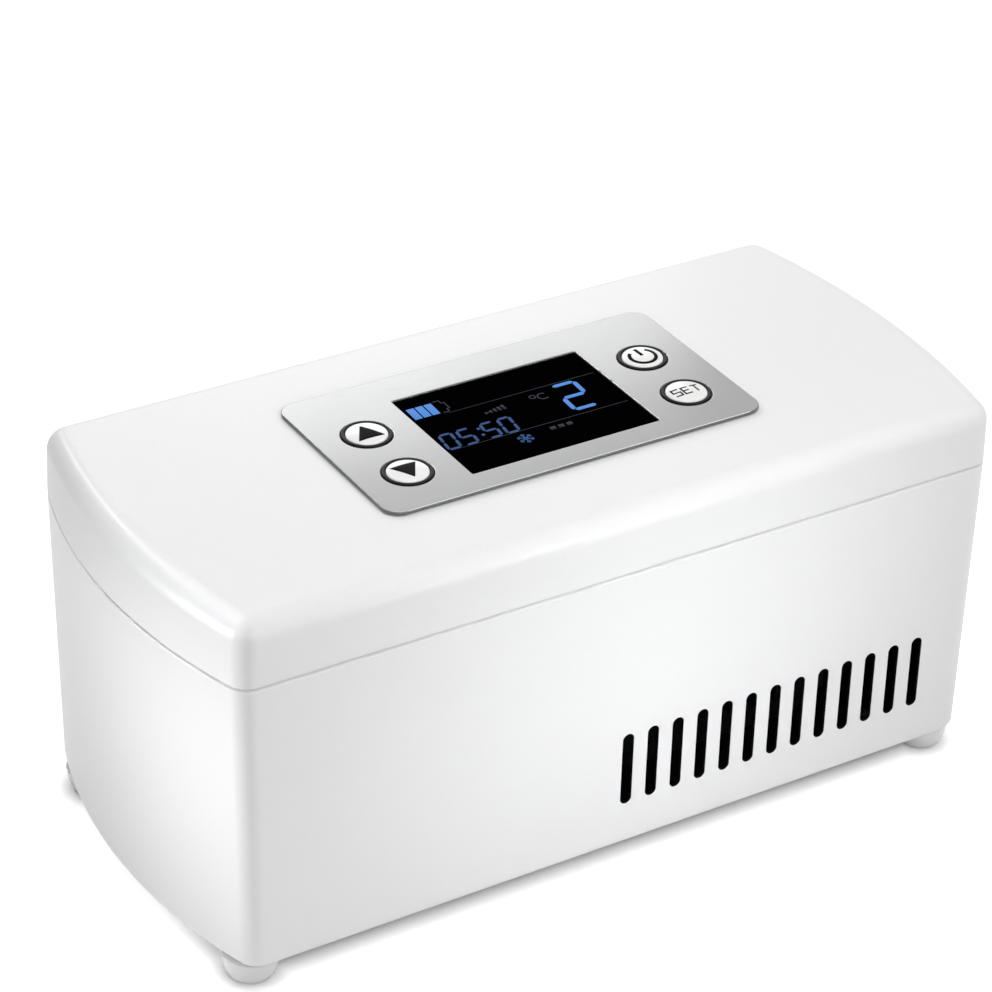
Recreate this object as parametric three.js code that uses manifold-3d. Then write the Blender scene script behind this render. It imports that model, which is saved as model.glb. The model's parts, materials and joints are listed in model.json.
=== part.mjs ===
// Portable insulin cooling case: a thermoelectric cooler with a hinged, display-carrying lid.
// Millimetres, +Z up, +X to the right, +Y to the back. The origin lies on the floor, under
// the middle of the whole object's bounding box.
import * as THREE from 'three';
import { mergeVertices } from 'three/addons/utils/BufferGeometryUtils.js';
import Module from 'manifold-3d';

const wasm = await Module();
wasm.setup();

// Outer case
const CASE_LENGTH = 203;
const CASE_DEPTH = 93;
const END_BOW = 8; // rise of each bowed end
const CORNER_RADIUS = 5;
const END_DRAFT = 1.2; // how much each end narrows from the seam to the floor
const WALL = 2.4;
const SEAM_HEIGHT = 77.8;
const SEAM_GAP = 0.5;
const LID_HEIGHT = 15.3;
const TOP_ROUND = 5;
const BASE_ROUND = 2.5;
const SMALLEST_CORNER = 1.2;

// Clearances
const FIT = 0.3; // between pieces at rest against each other
const RUN = 0.3; // between pieces that move past each other
const FILM = 0.1; // adhesive film or thermal paste
const OVERCUT = 1; // how far a cutter runs past a face

// Ledges of the lower housing
const DECK_LEDGE = 2; // width and height of the ledge that carries the rim deck
const COVER_MARGIN = 4; // case side to edge of bottom cover
const COVER_LEDGE = 3; // width of the ledge that the bottom cover bears on
const LEDGE_HEIGHT = 2;

// Bottom cover, feet and screws
const COVER_THICKNESS = 2.4;
const FOOT_HEIGHT = 6;
const FOOT_RADIUS = 6.3;
const FOOT_FLAT = 4; // radius of the flat underside
const FOOT_FROM_END = 13;
const FOOT_FROM_SIDE = 8;
const SCREW_HEAD_RADIUS = 2.6;
const SCREW_HEAD_HEIGHT = 1.3;
const SCREW_SHANK_RADIUS = 1.3;
const SCREW_LENGTH = 6.5;
const SCREW_CROWN = 0.5;
const SCREW_SLOT = [0.8, 3.6, 0.6]; // width, length, depth
const BOSS_RADIUS = 3.4;
const COVER_BOSS_HEIGHT = 7.5;
const COVER_SCREW_FROM_END = 30;
const COVER_SCREW_EDGE = 1.5; // screw head to edge of bottom cover

// Air slots
const VENT_COUNT = 13;
const VENT_PITCH = 6.5;
const VENT_WIDTH = 2.7;
const VENT_LENGTH = 18.4;
const VENT_LOW = 17.5; // lowest point of a slot above the floor
const VENT_WALL = 1.1; // thickness of the wall where the slots are
const VENT_MARGIN = 2; // slots to edge of the thin wall
const COOLER_X = 39.4; // middle of the slots, heat sink, fan and intake
const INTAKE_RADIUS = 22;
const INTAKE_SLOT = 2.6;
const INTAKE_PITCH = 5.5;

// Cooler
const FAN_SIZE = 50;
const FAN_THICKNESS = 10;
const FAN_WALL = 1.5;
const FAN_CORNER = 3;
const FAN_HOLE_RADIUS = 2;
const FAN_HOLE_INSET = 5;
const FAN_FLOOR = 2;
const FAN_ARMS = 3;
const FAN_ARM_WIDTH = 2.4;
const FAN_BEARING_RADIUS = 3;
const FAN_BEARING_HEIGHT = 7;
const FAN_HUB_RADIUS = 11.5;
const FAN_HUB_WALL = 1.2;
const FAN_HUB_ROUND = 0.8;
const FAN_SHAFT_RADIUS = 1;
const ROTOR_DROP = 0.6; // top of frame to top of rotor
const FAN_BLADES = 7;
const BLADE_TIP_GAP = 1;
const BLADE_HEIGHT = 6.2;
const BLADE_THICKNESS = 0.9;
const BLADE_ROOT_PITCH = THREE.MathUtils.degToRad(54);
const BLADE_TIP_PITCH = THREE.MathUtils.degToRad(34);
const SINK_LENGTH = 72;
const SINK_WIDTH = 64;
const SINK_BASE = 4;
const FIN_HEIGHT = 14;
const FIN_COUNT = 13;
const FIN_THICKNESS = 1.6;
const PELTIER_SIZE = 40;
const PELTIER_THICKNESS = 3.8;

// Chamber
const END_INSULATION = 13.5; // case end to chamber
const SIDE_INSULATION = 16.5; // case side to chamber
const CHAMBER_DEPTH = 24.4;
const CHAMBER_CORNER = 8;
const CHAMBER_DRAFT = 1;
const LINER_THICKNESS = 1;
const LINER_FLANGE = 2.4;
const DECK_THICKNESS = 2;
const DECK_DROP = 0.6; // housing rim to top of deck
const SEAL_WIDTH = 2;
const SEAL_HEIGHT = 1.4;
const MAGNET_HEIGHT = 2.4;
const MAGNET_POCKET_WALL = 1;
const SENSOR_RADIUS = 2;
const SENSOR_LENGTH = 9;

// Power pieces in the left half of the housing
const CELL_RADIUS = 9.2;
const CELL_LENGTH = 65;
const CELL_PITCH = 19.4;
const CELL_EDGE = 0.8;
const CELL_CAP_RADIUS = 3;
const CELL_CAP_HEIGHT = 1.2;
const HOLDER_WALL = 1.6;
const BATTERY_FROM_END = 17.1; // case end to battery holder
const MAIN_BOARD_LENGTH = 66;
const BOARD_GAP = 1; // battery holder to main board
const BOARD_THICKNESS = 1.6;
const BOARD_POST = 4;
const BOARD_POST_RADIUS = 2.2;
const BOARD_POST_INSET = 3;
const BOARD_HOLE_RADIUS = 1.2;
const SOLDER_DEPTH = 0.4;
const CHIP_SIZE = 9;
const CHIP_HEIGHT = 1.2;
const COIL_RADIUS = 4.5;
const COIL_HEIGHT = 6;
const CONNECTOR_WIDTH = 6;
const CONNECTOR_LENGTH = 10;
const CONNECTOR_HEIGHT = 6;
const CONNECTOR_INSET = 6;
const PLUG_HEIGHT = 4;
const PLUG_MARGIN = 0.5;
const SOCKET_WIDTH = 9;
const SOCKET_HEIGHT = 11;
const SOCKET_DEPTH = 14;
const SOCKET_NOSE_RADIUS = 4;
const SOCKET_BORE_RADIUS = 2.9;
const SOCKET_PIN_RADIUS = 1;
const SOCKET_WELL = 10;
const SOCKET_OFFSET = 12; // left of the battery's middle
const LEAD_RADIUS = 0.5;
const HARNESS_RADIUS = 1.1;

// Lid
const LID_CEILING = 2.6;
const LID_LINER = 1.8;
const PLUG_DEPTH = 4;
const PLUG_CLEARANCE = 1.4; // plug side to chamber wall
const PANEL_LENGTH = 94.8;
const PANEL_WIDTH = 51.3;
const PANEL_THICKNESS = 1;
const PANEL_CORNER = 4.2;
const PANEL_SHIFT = 1; // middle of the panel behind the middle of the case
const KEY_FIELD = 23.7; // panel end to display
const DISPLAY_WIDTH = 35;
const DISPLAY_SHIFT = 1.7; // middle of the display before the middle of the panel
const WINDOW_FLANGE = 1.5;
const WINDOW_RECESS = 0.2;
const BOARD_DROP = 6.4; // lid ceiling to top of control board
const CONTROL_BOARD_MARGIN = 4; // panel edge to edge of control board
const DISPLAY_MODULE_HEIGHT = 5.2;
const STAKE_RADIUS = 1.8;
const STAKE_EDGE = 0.5; // stake to edge of control board
const PLUG_TAPER = 0.6;
const GLASS_RIM = 2;
const GLASS_DEPTH = 0.6;
const LID_SCREW_FROM_END = 19;
const LID_SCREW_FROM_SIDE = 8.6;
const STRIKE_THICKNESS = 1;

// Buttons
const BUTTON_FROM_EDGE = 12; // panel end to middle of a button
const BUTTON_SHIFT = 3; // middle of a pair before the middle of the panel
const BUTTON_PITCH = 17.8; // between the two buttons of a pair
const BEZEL_OUTER = 5.6;
const BEZEL_INNER = 4.85;
const BEZEL_PROUD = 0.3;
const BEZEL_CHAMFER = 0.25;
const CAP_PROUD = 0.35;
const CAP_CROWN = 0.25;
const CAP_EDGE = 0.4;
const BUTTON_FLANGE = 1;
const BUTTON_STEM_RADIUS = 2;
const SWITCH_SIZE = 6;
const SWITCH_HEIGHT = 3.4;
const PLUNGER_RADIUS = 1.6;
const PLUNGER_PROUD = 1;
const PLUNGER_DEPTH = 1;
const BUTTON_TRAVEL = 0.5;

// Hinge
const KNUCKLE_RADIUS = 2.8;
const LID_KNUCKLE = 44;
const BASE_KNUCKLE = 16;
const KNUCKLE_WEB = 9; // height of the web under each housing knuckle
const PIN_RADIUS = 1.3;
const PIN_BORE = 0.85;
const PIN_REACH = 10; // how far a pin enters the lid knuckle
const PIN_SEAT = 10; // how far it enters the housing knuckle
const LEAD_HOLE = 0.95;
const LEAD_TURN = 1.5; // room beyond the hollow pin for the lead to turn
const LEAD_NOTCH = 4;

// Steps of curves
const CORNER_STEPS = 3;
const END_STEPS = 6;
const ROUND_STEPS = 3;
const SLOT_STEPS = 3;
const BLADE_STEPS = 3;
const BRANCH_STEPS = 9;
const LEAD_STEPS = 40;
const LEAD_SIDES = 6;
const DISC_STEPS = 20;
const SMALL_STEPS = 12;

// Levels above the floor
const halfLength = CASE_LENGTH / 2;
const halfDepth = CASE_DEPTH / 2;
const endRadius = (halfDepth ** 2 + END_BOW ** 2) / (2 * END_BOW);
const rimTop = SEAM_HEIGHT - SEAM_GAP / 2;
const lidRim = SEAM_HEIGHT + SEAM_GAP / 2;
const lidTop = SEAM_HEIGHT + LID_HEIGHT;
const deckTop = rimTop - DECK_DROP;
const deckBottom = deckTop - DECK_THICKNESS;
const coverTop = FOOT_HEIGHT + COVER_THICKNESS;
const coverLedgeTop = coverTop + FIT + LEDGE_HEIGHT;
const fanBottom = coverTop + FIT;
const fanTop = fanBottom + FAN_THICKNESS;
const finBottom = fanTop + FIT;
const sinkTop = finBottom + FIN_HEIGHT + SINK_BASE;
const peltierTop = sinkTop + FILM + PELTIER_THICKNESS;
const linerTop = deckBottom - FIT;
const chamberFloor = linerTop - CHAMBER_DEPTH;
const linerBottom = chamberFloor - LINER_THICKNESS;
const foamBottom = sinkTop + FIT;
const foamTop = linerTop - LINER_THICKNESS - FIT;
const sealTop = deckTop + SEAL_HEIGHT;
const lidLinerBottom = sealTop + FIT;
const lidLinerTop = lidLinerBottom + LID_LINER;
const ceiling = lidTop - LID_CEILING;
const controlBoardTop = ceiling - BOARD_DROP;
const panelTop = lidTop + FILM + PANEL_THICKNESS;
const switchTop = controlBoardTop + FILM + SWITCH_HEIGHT;

// Plan positions
const hingeY = halfDepth + RUN + KNUCKLE_RADIUS;
const hingeZ = SEAM_HEIGHT;
const hingeReach = hingeY + KNUCKLE_RADIUS - halfDepth;
const foamInset = WALL + DECK_LEDGE + FIT;
const innerDepth = halfDepth - WALL;
const chamberLength = CASE_LENGTH - 2 * END_INSULATION;
const chamberWidth = CASE_DEPTH - 2 * SIDE_INSULATION;
const magnetNear = chamberWidth / 2 + LINER_THICKNESS + LINER_FLANGE + FIT;
const magnetFar = halfDepth - foamInset;
const magnetY = -(magnetNear + magnetFar) / 2;
const magnetBoss = (magnetFar - magnetNear) / 2;
const magnetRadius = magnetBoss - MAGNET_POCKET_WALL;
const batteryWidth = 2 * CELL_PITCH + 2 * HOLDER_WALL;
const batteryLength = CELL_LENGTH + 2 * FIT + 2 * HOLDER_WALL;
const batteryX = BATTERY_FROM_END - halfLength + batteryLength / 2;
const coverScrewY = halfDepth - COVER_MARGIN - FIT - COVER_SCREW_EDGE - SCREW_HEAD_RADIUS;
const bossInside = coverScrewY - BOSS_RADIUS - FIT;
const batteryY = batteryWidth / 2 - bossInside;
const mainBoardFront = batteryY + batteryWidth / 2 + BOARD_GAP;
const mainBoardWidth = bossInside - mainBoardFront;
const mainBoardY = (bossInside + mainBoardFront) / 2;
const mainBoardTop = coverTop + BOARD_POST + FIT + BOARD_THICKNESS;
const socketX = batteryX - SOCKET_OFFSET;
const socketZ = mainBoardTop + FILM + SOCKET_HEIGHT / 2;
const displayLength = PANEL_LENGTH - 2 * KEY_FIELD;
const buttonX = PANEL_LENGTH / 2 - BUTTON_FROM_EDGE;
const panelY = PANEL_SHIFT;
const displayY = panelY - DISPLAY_SHIFT;
const pairY = panelY - BUTTON_SHIFT;
const frontButtonY = pairY - BUTTON_PITCH / 2;
const backButtonY = pairY + BUTTON_PITCH / 2;

// Boolean helpers
function solidOf(geometry) {
  const bare = geometry.clone();
  bare.deleteAttribute('normal');
  bare.deleteAttribute('uv');
  const merged = mergeVertices(bare, 1e-4);
  const mesh = new wasm.Mesh({
    numProp: 3,
    vertProperties: merged.attributes.position.array,
    triVerts: new Uint32Array(merged.index.array),
  });
  return new wasm.Manifold(mesh);
}

function geometryOf(solid) {
  const mesh = solid.getMesh();
  const geometry = new THREE.BufferGeometry();
  geometry.setAttribute('position', new THREE.BufferAttribute(mesh.vertProperties, mesh.numProp));
  geometry.setIndex(new THREE.BufferAttribute(mesh.triVerts, 1));
  return geometry;
}

function carve(base, { add = [], remove = [] }) {
  let body = solidOf(base);
  for (const piece of add) {
    body = body.add(solidOf(piece));
  }
  for (const tool of remove) {
    body = body.subtract(solidOf(tool));
  }
  return geometryOf(body);
}

// Plain solids
function block(length, depth, low, high, x = 0, y = 0) {
  const geometry = new THREE.BoxGeometry(length, depth, high - low);
  return geometry.translate(x, y, (low + high) / 2);
}

function post(radius, low, high, x = 0, y = 0, steps = SMALL_STEPS) {
  const geometry = new THREE.CylinderGeometry(radius, radius, high - low, steps);
  return geometry.rotateX(Math.PI / 2).translate(x, y, (low + high) / 2);
}

function rodAlongX(radius, left, right, y, z, steps = SMALL_STEPS) {
  const geometry = new THREE.CylinderGeometry(radius, radius, right - left, steps);
  return geometry.rotateZ(Math.PI / 2).translate((left + right) / 2, y, z);
}

function rodAlongY(radius, front, back, x, z, steps = SMALL_STEPS) {
  const geometry = new THREE.CylinderGeometry(radius, radius, back - front, steps);
  return geometry.translate(x, (front + back) / 2, z);
}

// Body of revolution about +Z from [radius, height] pairs, walked with the material on the left.
function revolve(profile, steps = DISC_STEPS) {
  const points = profile.map(([radius, height]) => new THREE.Vector2(radius, height));
  return new THREE.LatheGeometry(points, steps).rotateX(Math.PI / 2);
}

function prism(outline, low, high, holes = []) {
  const shape = new THREE.Shape(outline);
  for (const hole of holes) {
    shape.holes.push(new THREE.Path(hole));
  }
  const geometry = new THREE.ExtrudeGeometry(shape, { depth: high - low, bevelEnabled: false });
  return geometry.translate(0, 0, low);
}

// Lays a drawing over, so that its X, Y and Z become Y, Z and X.
function yzxBasis() {
  return new THREE.Matrix4().makeBasis(
    new THREE.Vector3(0, 1, 0),
    new THREE.Vector3(0, 0, 1),
    new THREE.Vector3(1, 0, 0),
  );
}

// Round bar swept along a smooth path through the given points.
function bar(points, radius, steps, sides) {
  const path = new THREE.CatmullRomCurve3(points.map((point) => new THREE.Vector3(...point)));
  const section = new THREE.Shape(arc(0, 0, radius, 0, 2 * Math.PI, sides).slice(1));
  return new THREE.ExtrudeGeometry(section, { extrudePath: path, steps, bevelEnabled: false });
}

// Outlines
function arc(cx, cy, radius, from, to, steps) {
  const points = [];
  for (let i = 0; i <= steps; i += 1) {
    const angle = from + ((to - from) * i) / steps;
    points.push(new THREE.Vector2(cx + radius * Math.cos(angle), cy + radius * Math.sin(angle)));
  }
  return points;
}

// Upright slot with round ends about the origin
function slotOutline(width, length) {
  const radius = width / 2;
  const reach = length / 2 - radius;
  return [
    ...arc(0, reach, radius, 0, Math.PI, SLOT_STEPS),
    ...arc(0, -reach, radius, Math.PI, 2 * Math.PI, SLOT_STEPS),
  ];
}

// Straight long sides, round corners and ends that are flat or bowed to a radius. All such
// outlines have the same number of points, so that any two can be lofted.
function caseShape(length, depth, bowRadius, corner) {
  const centreY = depth - corner;
  const bowed = Number.isFinite(bowRadius);
  const bowX = length - bowRadius;
  const centreX = bowed ? bowX + Math.sqrt((bowRadius - corner) ** 2 - centreY ** 2) : length - corner;
  const tangent = bowed ? Math.atan2(centreY, centreX - bowX) : 0;
  const quarter = Math.PI / 2;
  const end = arc(centreX, -centreY, corner, -quarter, -tangent, CORNER_STEPS);
  for (let i = 1; i < END_STEPS; i += 1) {
    const share = (2 * i) / END_STEPS - 1;
    const bowPoint = new THREE.Vector2(
      bowX + bowRadius * Math.cos(share * tangent),
      bowRadius * Math.sin(share * tangent),
    );
    end.push(bowed ? bowPoint : new THREE.Vector2(length, share * centreY));
  }
  end.push(...arc(centreX, centreY, corner, tangent, quarter, CORNER_STEPS));
  const otherEnd = end.map((point) => point.clone().negate());
  return [...end, ...otherEnd];
}

function caseOutline(inset, draft = 0) {
  const corner = Math.max(CORNER_RADIUS - inset, SMALLEST_CORNER);
  return caseShape(halfLength - draft - inset, halfDepth - inset, endRadius - inset, corner);
}

function flatOutline(length, width, corner) {
  return caseShape(length / 2, width / 2, Infinity, corner);
}

function chamberOutline(offset) {
  const corner = CHAMBER_CORNER + offset;
  return flatOutline(chamberLength + 2 * offset, chamberWidth + 2 * offset, corner);
}

// Skin over a stack of outlines. The ends are capped, or joined to each other for a sleeve.
function loft(rings, sleeve = false) {
  const count = rings[0].outline.length;
  const positions = rings.flatMap(({ outline, z }) => outline.flatMap((point) => [point.x, point.y, z]));
  const faces = [];
  const bands = sleeve ? rings.length : rings.length - 1;
  for (let ring = 0; ring < bands; ring += 1) {
    const low = ring * count;
    const high = ((ring + 1) % rings.length) * count;
    for (let i = 0; i < count; i += 1) {
      const next = (i + 1) % count;
      faces.push(low + i, low + next, high + next, low + i, high + next, high + i);
    }
  }
  if (!sleeve) {
    const last = (rings.length - 1) * count;
    for (const [a, b, c] of THREE.ShapeUtils.triangulateShape(rings[0].outline, [])) {
      faces.push(c, b, a);
    }
    for (const [a, b, c] of THREE.ShapeUtils.triangulateShape(rings.at(-1).outline, [])) {
      faces.push(last + a, last + b, last + c);
    }
  }
  const geometry = new THREE.BufferGeometry();
  geometry.setAttribute('position', new THREE.Float32BufferAttribute(positions, 3));
  geometry.setIndex(faces);
  return geometry;
}

// Rings of the drafted case wall
function draftAt(z) {
  return (END_DRAFT * (SEAM_HEIGHT - z)) / (SEAM_HEIGHT - FOOT_HEIGHT);
}

function wallRing(inset, z) {
  return { outline: caseOutline(inset, draftAt(z)), z };
}

function lidRing(inset, z) {
  return { outline: caseOutline(inset), z };
}

function roundedRings(makeRing, radius, edge, direction) {
  const rings = [];
  for (let i = 0; i <= ROUND_STEPS; i += 1) {
    const angle = ((Math.PI / 2) * i) / ROUND_STEPS;
    rings.push(makeRing(radius * (1 - Math.sin(angle)), edge + direction * radius * (1 - Math.cos(angle))));
  }
  return rings;
}

// Four places mirrored about the middle of the case
function fourCorners(x, y) {
  return [
    { name: 'front_left', x: -x, y: -y },
    { name: 'front_right', x, y: -y },
    { name: 'rear_left', x: -x, y },
    { name: 'rear_right', x, y },
  ];
}

const footPlaces = fourCorners(halfLength - FOOT_FROM_END, halfDepth - FOOT_FROM_SIDE);
const coverScrewPlaces = fourCorners(halfLength - COVER_SCREW_FROM_END, coverScrewY);
const lidScrewPlaces = fourCorners(halfLength - LID_SCREW_FROM_END, halfDepth - LID_SCREW_FROM_SIDE);
const buttonPlaces = [
  { name: 'up', x: -buttonX, y: backButtonY },
  { name: 'down', x: -buttonX, y: frontButtonY },
  { name: 'power', x: buttonX, y: backButtonY },
  { name: 'set', x: buttonX, y: frontButtonY },
];
const stakeInset = CONTROL_BOARD_MARGIN + STAKE_RADIUS + STAKE_EDGE;
const stakeCorners = fourCorners(PANEL_LENGTH / 2 - stakeInset, PANEL_WIDTH / 2 - stakeInset);
const stakePlaces = stakeCorners.map(({ x, y }) => ({ x, y: y + panelY }));

// Materials
function finish(color, roughness, metalness = 0) {
  return new THREE.MeshStandardMaterial({ color, roughness, metalness });
}

const whiteShell = () => finish(0xeeeeee, 0.32);
const whiteInner = () => finish(0xe6e6e4, 0.45);
const blackPlastic = () => finish(0x111214, 0.4);
const satinSilver = () => finish(0xc9cacb, 0.35, 0.7);
const darkGlass = () => finish(0x050608, 0.08);
const glossWhite = () => finish(0xf5f5f3, 0.16);
const clearRubber = () => finish(0xe9e9e6, 0.2);
const greyRubber = () => finish(0x6f7276, 0.7);
const aluminium = () => finish(0xb9bcc0, 0.38, 1);
const steel = () => finish(0x9b9da1, 0.3, 1);
const foam = () => finish(0xf1efe8, 0.95);
const board = () => finish(0x1d5a36, 0.5);
const cellSleeve = () => finish(0x2f6fb5, 0.4);
const redLead = () => finish(0xb02a22, 0.5);
const greyLead = () => finish(0x3a3c40, 0.5);
const ceramic = () => finish(0xf3f2ee, 0.6);

// Lower housing: a drafted sleeve with two ledges, air slots, bosses and hinge knuckles
function ventCutters(side) {
  const cutters = [];
  for (let i = 0; i < VENT_COUNT; i += 1) {
    const x = COOLER_X + (i - (VENT_COUNT - 1) / 2) * VENT_PITCH;
    const slot = prism(slotOutline(VENT_WIDTH, VENT_LENGTH), -WALL, WALL).rotateX(Math.PI / 2);
    cutters.push(slot.translate(x, side * (halfDepth - WALL / 2), VENT_LOW + VENT_LENGTH / 2));
  }
  return cutters;
}

// Pocket behind the slots of one side, which thins the wall there
function ventPocket(side) {
  const length = (VENT_COUNT - 1) * VENT_PITCH + VENT_WIDTH + 2 * VENT_MARGIN;
  const back = innerDepth - OVERCUT;
  const depth = halfDepth - VENT_WALL - back;
  return block(
    length,
    depth,
    VENT_LOW - VENT_MARGIN,
    VENT_LOW + VENT_LENGTH + VENT_MARGIN,
    COOLER_X,
    side * (back + depth / 2),
  );
}

// Web and barrel of a housing knuckle, with a sloping underside
function baseKnuckle(left, right) {
  const wallInside = halfDepth - WALL / 2;
  const outline = [
    new THREE.Vector2(wallInside, hingeZ - KNUCKLE_WEB - KNUCKLE_RADIUS),
    new THREE.Vector2(hingeY + KNUCKLE_RADIUS, hingeZ - KNUCKLE_RADIUS),
    new THREE.Vector2(hingeY + KNUCKLE_RADIUS, hingeZ - RUN),
    new THREE.Vector2(wallInside, hingeZ - SEAM_GAP),
  ];
  const web = prism(outline, left, right).applyMatrix4(yzxBasis());
  return [web, rodAlongX(KNUCKLE_RADIUS, left, right, hingeY, hingeZ, DISC_STEPS)];
}

const baseKnuckleLeft = LID_KNUCKLE / 2 + RUN;
const baseKnuckleRight = baseKnuckleLeft + BASE_KNUCKLE;
const leadHoleX = baseKnuckleLeft + PIN_SEAT + LEAD_TURN + LEAD_HOLE;
const leadHoleDrop = DECK_DROP + DECK_THICKNESS + 3 * DECK_LEDGE + SEAM_GAP;

// Slanting passage from the hinge line through the back wall, under the deck's ledge
const passageStart = new THREE.Vector3(leadHoleX, hingeY, hingeZ);
const passageEnd = new THREE.Vector3(leadHoleX, innerDepth - FIT, hingeZ - leadHoleDrop);

function leadPassage() {
  const along = passageEnd.clone().sub(passageStart);
  const passage = new THREE.CylinderGeometry(LEAD_HOLE, LEAD_HOLE, along.length() + OVERCUT, SMALL_STEPS);
  const turn = new THREE.Quaternion().setFromUnitVectors(new THREE.Vector3(0, 1, 0), along.normalize());
  const middle = passageStart.clone().lerp(passageEnd, 0.5);
  return passage.applyQuaternion(turn).translate(middle.x, middle.y, middle.z);
}

function lowerHousing() {
  const sleeve = loft([
    ...roundedRings(wallRing, BASE_ROUND, FOOT_HEIGHT, 1),
    wallRing(0, rimTop),
    wallRing(WALL, rimTop),
    wallRing(WALL, deckBottom - FIT),
    wallRing(WALL + DECK_LEDGE, deckBottom - FIT),
    wallRing(WALL + DECK_LEDGE, deckBottom - DECK_LEDGE),
    wallRing(WALL, deckBottom - 2 * DECK_LEDGE),
    wallRing(WALL, coverLedgeTop),
    wallRing(COVER_MARGIN + COVER_LEDGE, coverLedgeTop),
    wallRing(COVER_MARGIN + COVER_LEDGE, coverTop + FIT),
    wallRing(COVER_MARGIN, coverTop + FIT),
    wallRing(COVER_MARGIN, FOOT_HEIGHT),
  ], true);
  const bossTop = coverTop + COVER_BOSS_HEIGHT;
  const bosses = coverScrewPlaces.map(({ x, y }) => post(BOSS_RADIUS, coverTop + FIT, bossTop, x, y));
  const pilots = coverScrewPlaces.map(({ x, y }) => {
    const depth = FOOT_HEIGHT + SCREW_HEAD_HEIGHT + SCREW_LENGTH + FIT;
    return post(SCREW_SHANK_RADIUS + FIT, coverTop, depth, x, y);
  });
  const knuckles = [
    ...baseKnuckle(-baseKnuckleRight, -baseKnuckleLeft),
    ...baseKnuckle(baseKnuckleLeft, baseKnuckleRight),
  ];
  const seat = leadHoleX + LEAD_HOLE;
  const bores = [
    rodAlongX(PIN_RADIUS + FIT, -baseKnuckleLeft - PIN_SEAT - FIT, -baseKnuckleLeft + RUN, hingeY, hingeZ),
    rodAlongX(PIN_RADIUS + FIT, baseKnuckleLeft - RUN, seat, hingeY, hingeZ),
  ];
  const noseHole = rodAlongY(
    SOCKET_NOSE_RADIUS + FIT,
    innerDepth - OVERCUT,
    halfDepth + OVERCUT,
    socketX,
    socketZ,
    DISC_STEPS,
  );
  return carve(sleeve, {
    add: [...bosses, ...knuckles],
    remove: [
      ...ventCutters(-1),
      ...ventCutters(1),
      ventPocket(-1),
      ventPocket(1),
      ...pilots,
      ...bores,
      noseHole,
      leadPassage(),
    ],
  });
}

// Bottom cover: inset plate with the intake grille, board posts and screw recesses
function intakeCutters() {
  const cutters = [];
  const reach = Math.floor(INTAKE_RADIUS / INTAKE_PITCH);
  for (let i = -reach; i <= reach; i += 1) {
    const offset = i * INTAKE_PITCH;
    const chord = 2 * Math.sqrt(INTAKE_RADIUS ** 2 - offset ** 2);
    const outline = slotOutline(INTAKE_SLOT, Math.max(chord, 2 * INTAKE_SLOT));
    const slot = prism(outline, FOOT_HEIGHT - OVERCUT, coverTop + OVERCUT);
    cutters.push(slot.translate(COOLER_X + offset, 0, 0));
  }
  return cutters;
}

const boardPostPlaces = fourCorners(
  MAIN_BOARD_LENGTH / 2 - BOARD_POST_INSET,
  mainBoardWidth / 2 - BOARD_POST_INSET,
);

function bottomCover() {
  const outline = caseOutline(COVER_MARGIN + FIT, draftAt(FOOT_HEIGHT));
  const plate = loft([{ outline, z: FOOT_HEIGHT }, { outline, z: coverTop }]);
  const posts = boardPostPlaces.map(({ x, y }) => (
    post(BOARD_POST_RADIUS, coverTop - OVERCUT, coverTop + BOARD_POST, batteryX + x, mainBoardY + y)
  ));
  const recessTop = FOOT_HEIGHT + SCREW_HEAD_HEIGHT + FIT / 2;
  const recesses = coverScrewPlaces.flatMap(({ x, y }) => [
    post(SCREW_HEAD_RADIUS + FIT, FOOT_HEIGHT - OVERCUT, recessTop, x, y),
    post(SCREW_SHANK_RADIUS + FIT, FOOT_HEIGHT, coverTop + OVERCUT, x, y),
  ]);
  return carve(plate, { add: posts, remove: [...intakeCutters(), ...recesses] });
}

function foot() {
  const profile = [[0, 0], [FOOT_FLAT, 0]];
  for (let i = 1; i <= ROUND_STEPS; i += 1) {
    const angle = ((Math.PI / 2) * i) / ROUND_STEPS;
    const height = (FOOT_HEIGHT - FILM) * (1 - Math.cos(angle));
    profile.push([FOOT_FLAT + (FOOT_RADIUS - FOOT_FLAT) * Math.sin(angle), height]);
  }
  profile.push([0, FOOT_HEIGHT - FILM]);
  return revolve(profile);
}

// Slotted screw with its head's outer face on the origin plane, pointing up
function screw() {
  const [slotWidth, slotLength, slotDepth] = SCREW_SLOT;
  const slot = block(slotWidth, slotLength, -OVERCUT, slotDepth);
  const profile = [
    [0, 0],
    [SCREW_HEAD_RADIUS - SCREW_CROWN, 0],
    [SCREW_HEAD_RADIUS, SCREW_CROWN],
    [SCREW_HEAD_RADIUS, SCREW_HEAD_HEIGHT],
    [SCREW_SHANK_RADIUS, SCREW_HEAD_HEIGHT],
    [SCREW_SHANK_RADIUS, SCREW_LENGTH],
    [0, SCREW_LENGTH + SCREW_CROWN],
  ];
  return carve(revolve(profile, SMALL_STEPS), { remove: [slot] });
}

// Chamber pieces
function chamberLiner() {
  const floor = chamberOutline(-CHAMBER_DRAFT);
  const floorOutside = chamberOutline(LINER_THICKNESS - CHAMBER_DRAFT);
  const flange = chamberOutline(LINER_THICKNESS + LINER_FLANGE);
  return loft([
    { outline: floorOutside, z: linerBottom },
    { outline: chamberOutline(LINER_THICKNESS), z: linerTop - LINER_THICKNESS },
    { outline: flange, z: linerTop - LINER_THICKNESS },
    { outline: flange, z: linerTop },
    { outline: chamberOutline(0), z: linerTop },
    { outline: floor, z: chamberFloor },
  ]);
}

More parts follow.
